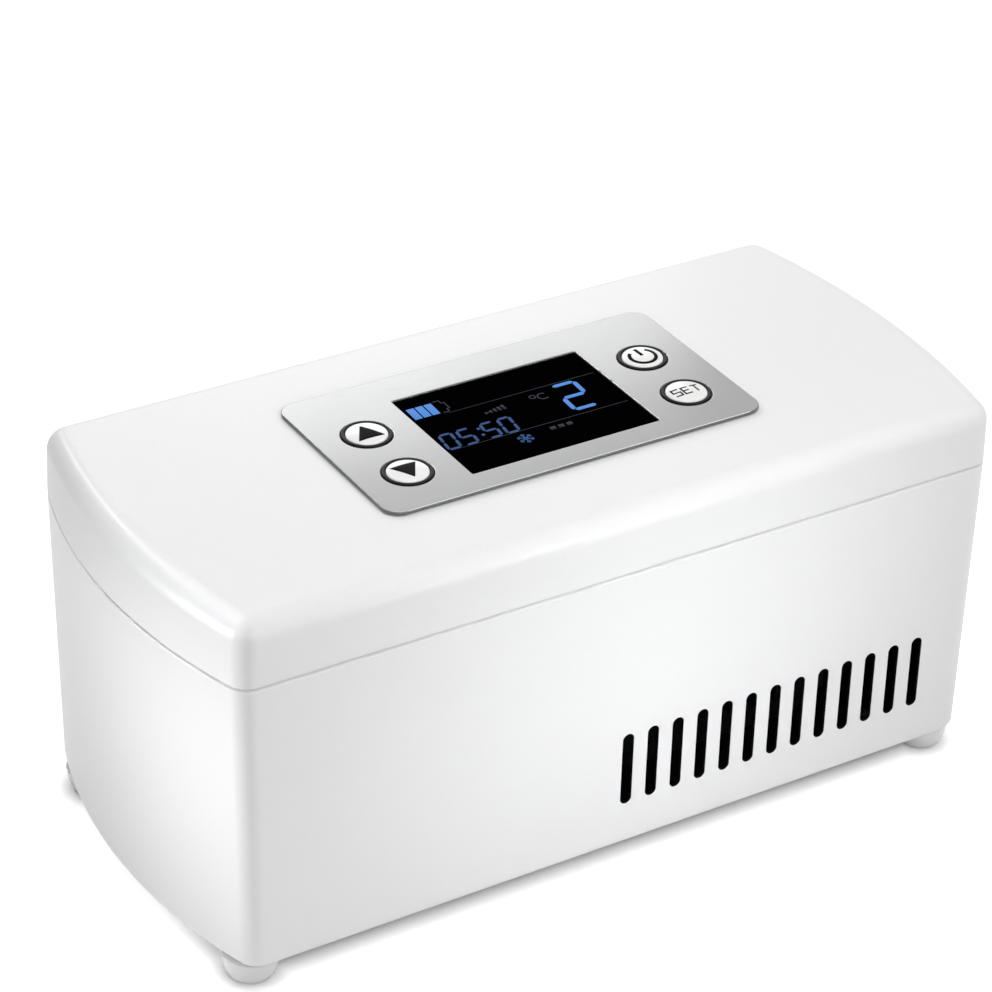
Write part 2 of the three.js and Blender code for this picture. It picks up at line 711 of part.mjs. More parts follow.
function baseInsulation() {
  const tub = LINER_THICKNESS + FIT;
  const foamBlock = loft([
    wallRing(foamInset, foamBottom),
    wallRing(foamInset, foamTop),
    { outline: chamberOutline(tub), z: foamTop },
    { outline: chamberOutline(tub - CHAMBER_DRAFT), z: linerBottom - FIT },
  ]);
  const cold = PELTIER_SIZE + 2 * FIT;
  const coldHole = block(cold, cold, foamBottom - OVERCUT, linerBottom + OVERCUT, COOLER_X);
  const magnetHole = post(magnetBoss + FIT, magnetBottom - FIT, foamTop + OVERCUT, 0, magnetY);
  const sensorHole = rodAlongX(
    SENSOR_RADIUS + FIT,
    -SENSOR_LENGTH - FIT,
    FIT,
    0,
    linerBottom - FIT - SENSOR_RADIUS,
  );
  const sensorSlot = block(
    SENSOR_LENGTH + 2 * FIT,
    2 * (SENSOR_RADIUS + FIT),
    linerBottom - SENSOR_RADIUS,
    linerBottom,
    -SENSOR_LENGTH / 2,
  );
  const wireWell = post(HARNESS_RADIUS + FIT, foamBottom - OVERCUT, linerBottom - OVERCUT, sensorWireX, 0);
  return carve(foamBlock, { remove: [coldHole, magnetHole, sensorHole, sensorSlot, wireWell] });
}

const magnetTop = deckTop - MAGNET_POCKET_WALL;
const magnetBottom = magnetTop - MAGNET_HEIGHT - FIT;
const sensorWireX = -SENSOR_LENGTH / 2;

function rimDeck() {
  const outer = caseOutline(WALL + FIT, draftAt(deckTop));
  const opening = chamberOutline(0);
  const plate = loft([
    { outline: outer, z: deckBottom },
    { outline: outer, z: deckTop },
    { outline: opening, z: deckTop },
    { outline: opening, z: deckBottom },
  ], true);
  const boss = post(magnetBoss, magnetBottom, deckTop - MAGNET_POCKET_WALL / 2, 0, magnetY);
  const pocket = post(magnetRadius + FIT / 2, magnetBottom - OVERCUT, magnetTop, 0, magnetY);
  return carve(plate, { add: [boss], remove: [pocket] });
}

function chamberSeal() {
  const inner = LINER_FLANGE / 2;
  const outer = inner + SEAL_WIDTH;
  const shoulder = deckTop + FILM + (SEAL_HEIGHT - FILM) / 2;
  return loft([
    { outline: chamberOutline(outer), z: deckTop + FILM },
    { outline: chamberOutline(outer), z: shoulder },
    { outline: chamberOutline(outer - SEAL_WIDTH / 4), z: sealTop },
    { outline: chamberOutline(inner + SEAL_WIDTH / 4), z: sealTop },
    { outline: chamberOutline(inner), z: shoulder },
    { outline: chamberOutline(inner), z: deckTop + FILM },
  ], true);
}

// Cooler
function heatSink() {
  const base = block(SINK_LENGTH, SINK_WIDTH, sinkTop - SINK_BASE, sinkTop, COOLER_X);
  const pitch = (SINK_LENGTH - FIN_THICKNESS) / (FIN_COUNT - 1);
  const fins = [];
  for (let i = 0; i < FIN_COUNT; i += 1) {
    const x = COOLER_X + (i - (FIN_COUNT - 1) / 2) * pitch;
    fins.push(block(FIN_THICKNESS, SINK_WIDTH, finBottom, sinkTop - SINK_BASE / 2, x));
  }
  return carve(base, { add: fins });
}

const fanBoreRadius = FAN_SIZE / 2 - FAN_WALL;

// Fan frame, standing on its own origin: a square ring, three arms and the bearing post
function fanFrame() {
  const frame = prism(flatOutline(FAN_SIZE, FAN_SIZE, FAN_CORNER), 0, FAN_THICKNESS);
  const bore = post(fanBoreRadius, -OVERCUT, FAN_THICKNESS + OVERCUT, 0, 0, 2 * DISC_STEPS);
  const holeReach = FAN_SIZE / 2 - FAN_HOLE_INSET;
  const holes = fourCorners(holeReach, holeReach).map(({ x, y }) => (
    post(FAN_HOLE_RADIUS, -OVERCUT, FAN_THICKNESS + OVERCUT, x, y)
  ));
  const ring = carve(frame, { remove: [bore, ...holes] });
  const spider = [
    post(FAN_HUB_RADIUS, 0, FAN_FLOOR, 0, 0, DISC_STEPS),
    post(FAN_BEARING_RADIUS, 0, FAN_BEARING_HEIGHT),
  ];
  const armLength = fanBoreRadius + FAN_WALL / 2;
  for (let i = 0; i < FAN_ARMS; i += 1) {
    const arm = block(armLength, FAN_ARM_WIDTH, 0, FAN_FLOOR, armLength / 2);
    spider.push(arm.rotateZ((2 * Math.PI * i) / FAN_ARMS + Math.PI / 2));
  }
  const bearing = post(FAN_SHAFT_RADIUS + RUN, FAN_FLOOR / 2, FAN_THICKNESS);
  return carve(ring, { add: spider, remove: [bearing] });
}

// Twisted blade from inside the hub wall to the tip, along +X
function fanBlade() {
  const root = FAN_HUB_RADIUS - FAN_HUB_WALL / 2;
  const tip = fanBoreRadius - BLADE_TIP_GAP;
  const across = BLADE_THICKNESS / 2;
  const rings = [];
  for (let i = 0; i <= BLADE_STEPS; i += 1) {
    const share = i / BLADE_STEPS;
    const pitch = THREE.MathUtils.lerp(BLADE_ROOT_PITCH, BLADE_TIP_PITCH, share);
    const along = BLADE_HEIGHT / Math.sin(pitch) / 2;
    const section = [[-along, -across], [along, -across], [along, across], [-along, across]];
    const centre = new THREE.Vector2();
    const outline = section.map(([u, v]) => new THREE.Vector2(u, v).rotateAround(centre, pitch));
    rings.push({ outline, z: THREE.MathUtils.lerp(root, tip, share) });
  }
  return loft(rings).applyMatrix4(yzxBasis());
}

// Rotor: a cup-shaped hub with its shaft and blades, in the frame's own origin
function fanRotor() {
  const top = FAN_THICKNESS - ROTOR_DROP;
  const low = FAN_FLOOR + RUN;
  const shaftEnd = FAN_FLOOR / 2 + RUN;
  const hub = revolve([
    [0, shaftEnd],
    [FAN_SHAFT_RADIUS, shaftEnd],
    [FAN_SHAFT_RADIUS, top - FAN_HUB_WALL],
    [FAN_HUB_RADIUS - FAN_HUB_WALL, top - FAN_HUB_WALL],
    [FAN_HUB_RADIUS - FAN_HUB_WALL, low],
    [FAN_HUB_RADIUS, low],
    [FAN_HUB_RADIUS, top - FAN_HUB_ROUND],
    [FAN_HUB_RADIUS - FAN_HUB_ROUND, top],
    [0, top],
  ]);
  const blades = [];
  for (let i = 0; i < FAN_BLADES; i += 1) {
    const blade = fanBlade().translate(0, 0, (top + low) / 2);
    blades.push(blade.rotateZ((2 * Math.PI * i) / FAN_BLADES));
  }
  return carve(hub, { add: blades });
}

// Power pieces
function batteryCell() {
  const half = CELL_LENGTH / 2;
  const shoulder = half - CELL_CAP_HEIGHT;
  return revolve([
    [0, -half],
    [CELL_RADIUS - CELL_EDGE, -half],
    [CELL_RADIUS, CELL_EDGE - half],
    [CELL_RADIUS, shoulder - CELL_EDGE],
    [CELL_RADIUS - CELL_EDGE, shoulder],
    [CELL_CAP_RADIUS, shoulder],
    [CELL_CAP_RADIUS, half],
    [0, half],
  ]).rotateY(Math.PI / 2);
}

const cellZ = coverTop + FIT + HOLDER_WALL + FIT + CELL_RADIUS;
const cellPlaces = [-CELL_PITCH / 2, CELL_PITCH / 2];

function batteryHolder() {
  const low = coverTop + FIT;
  const tub = block(batteryLength, batteryWidth, low, cellZ, batteryX, batteryY);
  const room = block(
    batteryLength - 2 * HOLDER_WALL,
    batteryWidth - 2 * HOLDER_WALL,
    low + HOLDER_WALL,
    cellZ + OVERCUT,
    batteryX,
    batteryY,
  );
  return carve(tub, { remove: [room] });
}

// Main board with its controller chip, coil and harness connector
const connectorX = batteryX + MAIN_BOARD_LENGTH / 2 - CONNECTOR_INSET;

function mainBoard() {
  const low = mainBoardTop - BOARD_THICKNESS;
  const sunk = mainBoardTop - SOLDER_DEPTH;
  const chipX = batteryX - CHIP_SIZE / 2;
  const coilX = batteryX + 2 * COIL_RADIUS;
  const plate = block(MAIN_BOARD_LENGTH, mainBoardWidth, low, mainBoardTop, batteryX, mainBoardY);
  const chip = block(CHIP_SIZE, CHIP_SIZE, sunk, mainBoardTop + CHIP_HEIGHT, chipX, mainBoardY);
  const coil = post(COIL_RADIUS, sunk, mainBoardTop + COIL_HEIGHT, coilX, mainBoardY, DISC_STEPS);
  const connectorTop = mainBoardTop + CONNECTOR_HEIGHT;
  const connector = block(CONNECTOR_WIDTH, CONNECTOR_LENGTH, sunk, connectorTop, connectorX, mainBoardY);
  const holes = boardPostPlaces.map(({ x, y }) => (
    post(BOARD_HOLE_RADIUS, low - OVERCUT, mainBoardTop + OVERCUT, batteryX + x, mainBoardY + y)
  ));
  return carve(plate, { add: [chip, coil, connector], remove: holes });
}

function dcSocket() {
  const nose = halfDepth - FIT;
  const shoulder = innerDepth - FIT;
  const body = block(
    SOCKET_WIDTH,
    SOCKET_DEPTH,
    socketZ - SOCKET_HEIGHT / 2,
    socketZ + SOCKET_HEIGHT / 2,
    socketX,
    shoulder - SOCKET_DEPTH / 2,
  );
  const barrel = rodAlongY(SOCKET_NOSE_RADIUS, shoulder - OVERCUT, nose, socketX, socketZ, DISC_STEPS);
  const wellEnd = nose - SOCKET_WELL;
  const well = rodAlongY(SOCKET_BORE_RADIUS, wellEnd, nose + OVERCUT, socketX, socketZ, DISC_STEPS);
  const pin = rodAlongY(SOCKET_PIN_RADIUS, wellEnd - OVERCUT, nose - SOCKET_PIN_RADIUS, socketX, socketZ);
  const hollow = carve(body, { add: [barrel], remove: [well] });
  return carve(hollow, { add: [pin] });
}

// Harness: one plug on the main board with branches to the cells, the fan and the Peltier module
function wiringHarness() {
  const plugLow = mainBoardTop + CONNECTOR_HEIGHT + FIT;
  const plugTop = plugLow + PLUG_HEIGHT;
  const plugWidth = CONNECTOR_WIDTH - 2 * PLUG_MARGIN;
  const plugLength = CONNECTOR_LENGTH - 2 * PLUG_MARGIN;
  const plug = block(plugWidth, plugLength, plugLow, plugTop, connectorX, mainBoardY);
  const start = [connectorX, mainBoardY, (plugLow + plugTop) / 2];
  const cellEnd = batteryX + batteryLength / 2 + HARNESS_RADIUS + FIT;
  const fanSide = COOLER_X - FAN_SIZE / 2 - HARNESS_RADIUS - FIT;
  const sinkSide = COOLER_X - SINK_LENGTH / 2 - HARNESS_RADIUS - FIT;
  const aisle = (cellEnd + sinkSide) / 2;
  const branch = (...points) => bar([start, ...points], HARNESS_RADIUS, BRANCH_STEPS, LEAD_SIDES);
  const toCells = branch(
    [aisle - 4, mainBoardY - 4, plugTop],
    [aisle - 4, batteryY + 6, cellZ],
    [cellEnd, batteryY, cellZ],
  );
  const toFan = branch(
    [aisle - 4, mainBoardY - 3, plugTop],
    [aisle + 1, 6, fanTop],
    [fanSide, 0, fanBottom + 3],
  );
  const toPeltier = branch(
    [aisle - 4, mainBoardY - 2, plugTop],
    [aisle, 8, foamBottom - 3],
    [sinkSide, 2, foamBottom - 3],
  );
  return carve(plug, { add: [toCells, toFan, toPeltier] });
}

// Display lead, housing side: down the gap behind the insulation and up into the hollow pin
function displayLeadBase() {
  const gapY = halfDepth - (WALL + foamInset) / 2;
  const plugX = connectorX - CONNECTOR_WIDTH;
  const boardY = mainBoardY + mainBoardWidth / 2 - BOARD_POST_INSET;
  const inPassage = [0.15, 0.45, 0.8].map((share) => {
    const point = passageStart.clone().lerp(passageEnd, share);
    return point.toArray();
  });
  return bar([
    [baseKnuckleLeft - RUN + FIT, hingeY, hingeZ],
    [leadHoleX - 4, hingeY, hingeZ],
    [leadHoleX - LEAD_TURN, hingeY, hingeZ],
    ...inPassage,
    [leadHoleX, gapY, hingeZ - leadHoleDrop - 1.5],
    [leadHoleX - 2, gapY, hingeZ - leadHoleDrop - 7],
    [plugX + 22, gapY, foamBottom + 8],
    [plugX + 6, gapY, foamBottom - 2],
    [plugX + 1, gapY - 4, foamBottom - 8],
    [plugX, boardY, mainBoardTop + 7],
    [plugX, boardY, mainBoardTop + FIT],
  ], LEAD_RADIUS, LEAD_STEPS, LEAD_SIDES);
}

// Round holes for the four bezels, through everything between two levels
function bezelHoles(low, high) {
  return buttonPlaces.map(({ x, y }) => (
    post(BEZEL_OUTER + FIT / 2, low - OVERCUT, high + OVERCUT, x, y, DISC_STEPS)
  ));
}

// Lid shell: a shallow cup with rounded top edge, panel openings, bosses and the hinge barrel
function lidShell() {
  const cup = loft([
    lidRing(WALL + TOP_ROUND / 2, ceiling),
    lidRing(WALL, ceiling - TOP_ROUND / 2),
    lidRing(WALL, lidRim),
    ...roundedRings(lidRing, TOP_ROUND, lidTop, -1).reverse().reduce((rings, ring) => (
      rings.length ? [...rings, ring] : [lidRing(0, lidRim), ring]
    ), []),
  ]);
  const bosses = lidScrewPlaces.map(({ x, y }) => (
    post(BOSS_RADIUS, lidLinerTop + FIT, ceiling + OVERCUT, x, y)
  ));
  const stakes = stakePlaces.flatMap(({ x, y }) => [
    post(STAKE_RADIUS, controlBoardTop + FIT, ceiling + OVERCUT, x, y),
    post(STAKE_RADIUS / 2, controlBoardTop - BOARD_THICKNESS - FIT, ceiling, x, y),
  ]);
  const barrel = rodAlongX(KNUCKLE_RADIUS, -LID_KNUCKLE / 2, LID_KNUCKLE / 2, hingeY, hingeZ, DISC_STEPS);
  const webDepth = hingeY - halfDepth + WALL / 2;
  const web = block(
    LID_KNUCKLE,
    webDepth,
    hingeZ + SEAM_GAP,
    hingeZ + KNUCKLE_RADIUS,
    0,
    hingeY - webDepth / 2,
  );
  const bore = rodAlongX(PIN_RADIUS + RUN, -LID_KNUCKLE, LID_KNUCKLE, hingeY, hingeZ);
  const leadSlot = block(
    LEAD_NOTCH,
    hingeY - innerDepth + OVERCUT,
    lidLeadZ - LEAD_HOLE,
    lidLeadZ + LEAD_HOLE,
    LEAD_NOTCH / 4,
    (hingeY + innerDepth - OVERCUT) / 2,
  );
  const pilotTop = lidLinerBottom + SCREW_HEAD_HEIGHT + SCREW_LENGTH + FIT;
  const pilots = lidScrewPlaces.map(({ x, y }) => (
    post(SCREW_SHANK_RADIUS + FIT, lidLinerTop, pilotTop, x, y)
  ));
  const windowHole = block(
    displayLength + 2 * (WINDOW_FLANGE + FIT),
    DISPLAY_WIDTH + 2 * (WINDOW_FLANGE + FIT),
    ceiling - OVERCUT,
    lidTop + OVERCUT,
    0,
    displayY,
  );
  const buttonHoles = bezelHoles(ceiling, lidTop);
  return carve(cup, {
    add: [...bosses, ...stakes, barrel, web],
    remove: [bore, leadSlot, windowHole, ...pilots, ...buttonHoles],
  });
}

const lidLeadZ = lidRim + FIT + LEAD_HOLE;

// Lid liner: a flange inside the shell with a hollow plug that dips into the chamber
function lidLiner() {
  const flange = caseOutline(WALL + FIT);
  const plugFoot = chamberOutline(-PLUG_CLEARANCE - PLUG_TAPER);
  const plugRoot = chamberOutline(-PLUG_CLEARANCE);
  const well = chamberOutline(-PLUG_CLEARANCE - LID_LINER);
  const wellFloor = chamberOutline(-PLUG_CLEARANCE - LID_LINER - PLUG_TAPER);
  const pan = loft([
    { outline: plugFoot, z: lidLinerBottom - PLUG_DEPTH },
    { outline: plugRoot, z: lidLinerBottom },
    { outline: flange, z: lidLinerBottom },
    { outline: flange, z: lidLinerTop },
    { outline: well, z: lidLinerTop },
    { outline: wellFloor, z: lidLinerBottom - PLUG_DEPTH + LID_LINER },
  ]);
  const recessTop = lidLinerBottom + SCREW_HEAD_HEIGHT + FIT / 2;
  const recesses = lidScrewPlaces.flatMap(({ x, y }) => [
    post(SCREW_HEAD_RADIUS + FIT, lidLinerBottom - OVERCUT, recessTop, x, y),
    post(SCREW_SHANK_RADIUS + FIT, lidLinerBottom, lidLinerTop + OVERCUT, x, y),
  ]);
  const leadNotch = block(
    LEAD_NOTCH,
    2 * LEAD_NOTCH,
    lidLinerBottom - OVERCUT,
    lidLinerTop + OVERCUT,
    0,
    innerDepth,
  );
  return carve(pan, { remove: [...recesses, leadNotch] });
}

function lidInsulation() {
  const inset = -PLUG_CLEARANCE - LID_LINER - FIT;
  const top = controlBoardTop - BOARD_THICKNESS - 2 * FIT;
  return loft([
    { outline: chamberOutline(inset - PLUG_TAPER), z: lidLinerBottom - PLUG_DEPTH + LID_LINER + FIT },
    { outline: chamberOutline(inset), z: lidLinerTop + FIT },
    { outline: chamberOutline(inset), z: top },
  ]);
}

// Control panel with its display opening and button holes
function controlPanel() {
  const outline = flatOutline(PANEL_LENGTH, PANEL_WIDTH, PANEL_CORNER);
  const plate = prism(outline, lidTop + FILM, panelTop).translate(0, panelY, 0);
  const opening = block(displayLength, DISPLAY_WIDTH, lidTop - OVERCUT, panelTop + OVERCUT, 0, displayY);
  return carve(plate, { remove: [opening, ...bezelHoles(lidTop, panelTop)] });
}

function displayWindow() {
  const flange = block(
    displayLength + 2 * WINDOW_FLANGE,
    DISPLAY_WIDTH + 2 * WINDOW_FLANGE,
    windowBottom,
    lidTop,
  );
  const face = block(
    displayLength - FIT,
    DISPLAY_WIDTH - FIT,
    windowBottom,
    panelTop - WINDOW_RECESS,
  );
  return carve(flange, { add: [face] });
}

const displayModuleTop = controlBoardTop + FILM + DISPLAY_MODULE_HEIGHT;
const windowBottom = displayModuleTop + FIT;

function displayModule() {
  const length = displayLength + 2 * WINDOW_FLANGE;
  const width = DISPLAY_WIDTH + 2 * WINDOW_FLANGE;
  const frame = block(length, width, controlBoardTop + FILM, displayModuleTop);
  const glassRecess = block(
    length - 2 * GLASS_RIM,
    width - 2 * GLASS_RIM,
    displayModuleTop - GLASS_DEPTH,
    displayModuleTop + OVERCUT,
  );
  return carve(frame, { remove: [glassRecess] });
}

function controlBoard() {
  const low = controlBoardTop - BOARD_THICKNESS;
  const length = PANEL_LENGTH - 2 * CONTROL_BOARD_MARGIN;
  const width = PANEL_WIDTH - 2 * CONTROL_BOARD_MARGIN;
  const plate = block(length, width, low, controlBoardTop, 0, panelY);
  const holes = stakePlaces.map(({ x, y }) => (
    post(STAKE_RADIUS / 2 + FIT, low - OVERCUT, controlBoardTop + OVERCUT, x, y)
  ));
  return carve(plate, { remove: holes });
}

// Button pieces, each standing on its own origin at floor level below the button
function buttonBezel() {
  const top = panelTop + BEZEL_PROUD;
  return revolve([
    [BEZEL_INNER, ceiling],
    [BEZEL_OUTER, ceiling],
    [BEZEL_OUTER, top - BEZEL_CHAMFER],
    [BEZEL_OUTER - BEZEL_CHAMFER, top],
    [BEZEL_INNER + BEZEL_CHAMFER, top],
    [BEZEL_INNER, top - BEZEL_CHAMFER],
    [BEZEL_INNER, ceiling],
  ]);
}

function buttonCap() {
  const radius = BEZEL_INNER - RUN;
  const flange = (BEZEL_INNER + BEZEL_OUTER) / 2;
  const flangeTop = ceiling - RUN;
  const stemEnd = switchTop + PLUNGER_PROUD + FILM;
  const top = panelTop + CAP_PROUD;
  return revolve([
    [0, stemEnd],
    [BUTTON_STEM_RADIUS, stemEnd],
    [BUTTON_STEM_RADIUS, flangeTop - BUTTON_FLANGE],
    [flange, flangeTop - BUTTON_FLANGE],
    [flange, flangeTop],
    [radius, flangeTop],
    [radius, top - CAP_EDGE],
    [radius - CAP_EDGE, top],
    [radius / 2, top + (3 / 4) * CAP_CROWN],
    [0, top + CAP_CROWN],
  ]);
}

function switchBody() {
  const body = block(SWITCH_SIZE, SWITCH_SIZE, controlBoardTop + FILM, switchTop);
  const wellFloor = switchTop - PLUNGER_DEPTH - BUTTON_TRAVEL - RUN;
  const well = post(PLUNGER_RADIUS + RUN, wellFloor, switchTop + OVERCUT);
  return carve(body, { remove: [well] });
}

function switchPlunger() {
  return post(PLUNGER_RADIUS, switchTop - PLUNGER_DEPTH, switchTop + PLUNGER_PROUD);
}

// Display lead, lid side: from the board over the rim of the lid into the hinge barrel
function displayLeadLid() {
  const startX = displayLength / 2 + WINDOW_FLANGE + LEAD_NOTCH;
  const boardEdge = panelY + PANEL_WIDTH / 2 - CONTROL_BOARD_MARGIN;
  return bar([
    [startX, boardEdge - LEAD_NOTCH, controlBoardTop + FIT + LEAD_RADIUS],
    [startX - 3, boardEdge + 4, controlBoardTop + FIT + LEAD_RADIUS],
    [6, innerDepth - 8, lidLinerTop + 2],
    [0, innerDepth - 2.5, lidLinerTop],
    [0, innerDepth + WALL / 2, lidLeadZ],
    [0.3, halfDepth + RUN + 0.6, lidLeadZ - 0.2],
    [1.6, hingeY - 0.4, hingeZ + 0.5],
    [5, hingeY, hingeZ],
    [LID_KNUCKLE / 2 - 8, hingeY, hingeZ],
    [LID_KNUCKLE / 2 - RUN, hingeY, hingeZ],
  ], LEAD_RADIUS, LEAD_STEPS, LEAD_SIDES);
}

// Hinge pins along +X, starting at the middle of the joint between two knuckles
function hingePin(hollow) {
  const radius = hollow ? PIN_BORE : 0;
  const near = -PIN_REACH;
  const far = PIN_SEAT;
  const profile = [[radius, near], [PIN_RADIUS, near], [PIN_RADIUS, far], [radius, far]];
  if (hollow) {
    profile.push([radius, near]);
  }
  return revolve(profile, SMALL_STEPS).rotateY(Math.PI / 2);
}

// Assembly
const object = new THREE.Group();
object.name = 'insulin_cooling_case';
const caseGroup = new THREE.Group();
caseGroup.position.y = -hingeReach / 2;
object.add(caseGroup);

function place(name, geometry, material, x = 0, y = 0, z = 0) {
  const mesh = new THREE.Mesh(geometry, material);
  mesh.name = name;
  mesh.position.set(x, y, z);
  caseGroup.add(mesh);
  return mesh;
}

place('lower_housing', lowerHousing(), whiteShell());
place('bottom_cover', bottomCover(), whiteInner());
for (const { name, x, y } of footPlaces) {
  place(`foot_${name}`, foot(), clearRubber(), x, y);
}
for (const { name, x, y } of coverScrewPlaces) {
  place(`cover_screw_${name}`, screw(), steel(), x, y, FOOT_HEIGHT + FIT / 4);
}
place('chamber_liner', chamberLiner(), aluminium());
place('base_insulation', baseInsulation(), foam());
place('rim_deck', rimDeck(), whiteInner());
place('chamber_seal', chamberSeal(), greyRubber());
place('catch_magnet', post(magnetRadius, magnetBottom, magnetTop - FIT), steel(), 0, magnetY);
place(
  'temperature_sensor',
  rodAlongX(SENSOR_RADIUS, -SENSOR_LENGTH, 0, 0, linerBottom - FILM - SENSOR_RADIUS),
  blackPlastic(),
);

const coldBlock = block(PELTIER_SIZE, PELTIER_SIZE, peltierTop + FILM, linerBottom - FILM, COOLER_X);
place('cold_block', coldBlock, aluminium());
const peltier = block(PELTIER_SIZE, PELTIER_SIZE, sinkTop + FILM, peltierTop, COOLER_X);
place('peltier_module', peltier, ceramic());
place('heat_sink', heatSink(), aluminium());
place('fan_frame', fanFrame(), blackPlastic(), COOLER_X, 0, fanBottom);
place('fan_rotor', fanRotor(), blackPlastic(), COOLER_X, 0, fanBottom);

place('battery_holder', batteryHolder(), blackPlastic());
cellPlaces.forEach((offset, index) => {
  place(`battery_cell_${index + 1}`, batteryCell(), cellSleeve(), batteryX, batteryY + offset, cellZ);
});
place('main_board', mainBoard(), board());
place('dc_socket', dcSocket(), blackPlastic());
place('wiring_harness', wiringHarness(), redLead());
place('display_lead_base', displayLeadBase(), greyLead());
place('hinge_pin_left', hingePin(false).rotateZ(Math.PI), steel(), -baseKnuckleLeft, hingeY, hingeZ);
place('hinge_pin_right', hingePin(true), steel(), baseKnuckleLeft, hingeY, hingeZ);

place('lid_shell', lidShell(), whiteShell());
place('lid_liner', lidLiner(), whiteInner());
place('lid_insulation', lidInsulation(), foam());
const strikeLow = lidLinerTop + FILM;
place('catch_strike', post(magnetBoss, strikeLow, strikeLow + STRIKE_THICKNESS), steel(), 0, magnetY);
for (const { name, x, y } of lidScrewPlaces) {
  place(`lid_screw_${name}`, screw(), steel(), x, y, lidLinerBottom + FIT / 4);
}
place('control_panel', controlPanel(), satinSilver());
place('display_window', displayWindow(), darkGlass(), 0, displayY);
place('display_module', displayModule(), blackPlastic(), 0, displayY);
place('control_board', controlBoard(), board());
place('display_lead_lid', displayLeadLid(), greyLead());
for (const { name, x, y } of buttonPlaces) {
  place(`button_${name}`, buttonCap(), glossWhite(), x, y);
  place(`button_bezel_${name}`, buttonBezel(), blackPlastic(), x, y);
  place(`switch_${name}`, switchBody(), blackPlastic(), x, y);
  place(`switch_plunger_${name}`, switchPlunger(), redLead(), x, y);
}

export default object;
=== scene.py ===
"""Looks of a portable insulin cooling case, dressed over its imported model.

Shapes are drawn in millimetres about the middle of the case and become metres in their meshes.
"""
import json
import math

import bpy
from mathutils import Matrix, Quaternion, Vector


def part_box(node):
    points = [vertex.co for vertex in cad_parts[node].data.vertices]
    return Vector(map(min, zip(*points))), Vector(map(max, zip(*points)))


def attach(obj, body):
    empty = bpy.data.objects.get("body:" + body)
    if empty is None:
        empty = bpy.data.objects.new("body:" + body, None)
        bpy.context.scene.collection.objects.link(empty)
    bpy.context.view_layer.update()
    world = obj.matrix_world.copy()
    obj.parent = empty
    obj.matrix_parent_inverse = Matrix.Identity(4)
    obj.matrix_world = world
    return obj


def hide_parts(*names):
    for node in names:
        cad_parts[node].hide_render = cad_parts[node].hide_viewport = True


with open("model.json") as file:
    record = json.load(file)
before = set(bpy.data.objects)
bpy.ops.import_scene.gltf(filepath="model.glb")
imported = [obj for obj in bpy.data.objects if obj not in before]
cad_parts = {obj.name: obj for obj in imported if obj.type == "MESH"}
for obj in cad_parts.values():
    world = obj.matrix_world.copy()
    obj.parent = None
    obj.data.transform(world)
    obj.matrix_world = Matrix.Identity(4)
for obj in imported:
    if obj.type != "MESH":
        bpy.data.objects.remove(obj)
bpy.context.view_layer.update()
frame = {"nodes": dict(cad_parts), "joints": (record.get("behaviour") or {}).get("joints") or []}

MM = 0.001

# Case
CASE_LENGTH = 203
CASE_DEPTH = 93
END_BOW = 8
LID_TOP_BOW = 5.5
CORNER_RADIUS = 5
SMALLEST_CORNER = 1.2
END_DRAFT = 1.2
WALL = 2.4
SEAM_GAP = 0.5
TONGUE_INSET = 0.95
TONGUE_GAP = 0.12
LID_CEILING = 2.6
TOP_ROUND = 5
BASE_ROUND = 2.5
EDGE_ROUND = 0.4
FIT = 0.3
OVERCUT = 1
SOFT_EDGE = 0.3
SHARP_ANGLE = 35
FACING_SHARE = 0.5

# Ledges, bottom cover and air slots
DECK_LEDGE = 2
COVER_MARGIN = 4
COVER_LEDGE = 3
LEDGE_HEIGHT = 2
COVER_THICKNESS = 2.4
VENT_COUNT = 13
VENT_PITCH = 6.5
VENT_WIDTH = 2.7
VENT_LENGTH = 18.4
VENT_LIFT = 11.5
VENT_WALL = 1.1
VENT_MARGIN = 2
INWARD_SLACK = 0.3
COOLER_X = 39.4
INTAKE_RADIUS = 22
INTAKE_SLOT = 2.6
INTAKE_PITCH = 5.5

# Feet and screws
FOOT_FLAT = 4
FOOT_EDGE = 0.2
SCREW_HEAD_RADIUS = 2.6
SCREW_HEAD_HEIGHT = 1.3
SCREW_SHANK_RADIUS = 1.3
SCREW_LENGTH = 6.5
SCREW_CROWN = 0.5
SCREW_EDGE = 0.08
CROSS_LENGTH = 2.9
CROSS_WIDTH = 0.75
CROSS_DEPTH = 0.9
RECESS_GAP = 0.15

# Chamber
END_INSULATION = 13.5
SIDE_INSULATION = 16.5
CHAMBER_DEPTH = 24.4
CHAMBER_CORNER = 8
CHAMBER_DRAFT = 1
CHAMBER_ROUND = 3
LINER_THICKNESS = 1
LINER_FLANGE = 2.4
DECK_THICKNESS = 2
DECK_DROP = 0.6
SEAL_WIDTH = 2
SEAL_HEIGHT = 1.4
LID_LINER = 1.8
PLUG_DEPTH = 4
PLUG_CLEARANCE = 1.4
PLUG_TAPER = 0.6
PLUG_ROUND = 1.2
LEAD_NOTCH = 4

# Panel, display and buttons
PANEL_CORNER = 4.2
PANEL_EDGE = 0.28
DISPLAY_CORNER = 0.4
WINDOW_FLANGE = 1.5
WINDOW_RECESS = 0.2
WINDOW_EDGE = 0.15
FILM = 0.1
BEZEL_OUTER = 5.6
BEZEL_INNER = 4.85
BEZEL_PROUD = 0.3
BEZEL_ROUND = 0.25
CAP_RADIUS = 4.72
CAP_FLANGE = 5.2
CAP_FLANGE_HEIGHT = 1
CAP_STEM = 2
CAP_PROUD = 0.35
CAP_CROWN = 0.25
CAP_EDGE = 0.4
CAP_FOOT_EDGE = 0.1
PRINT_THICKNESS = 0.03

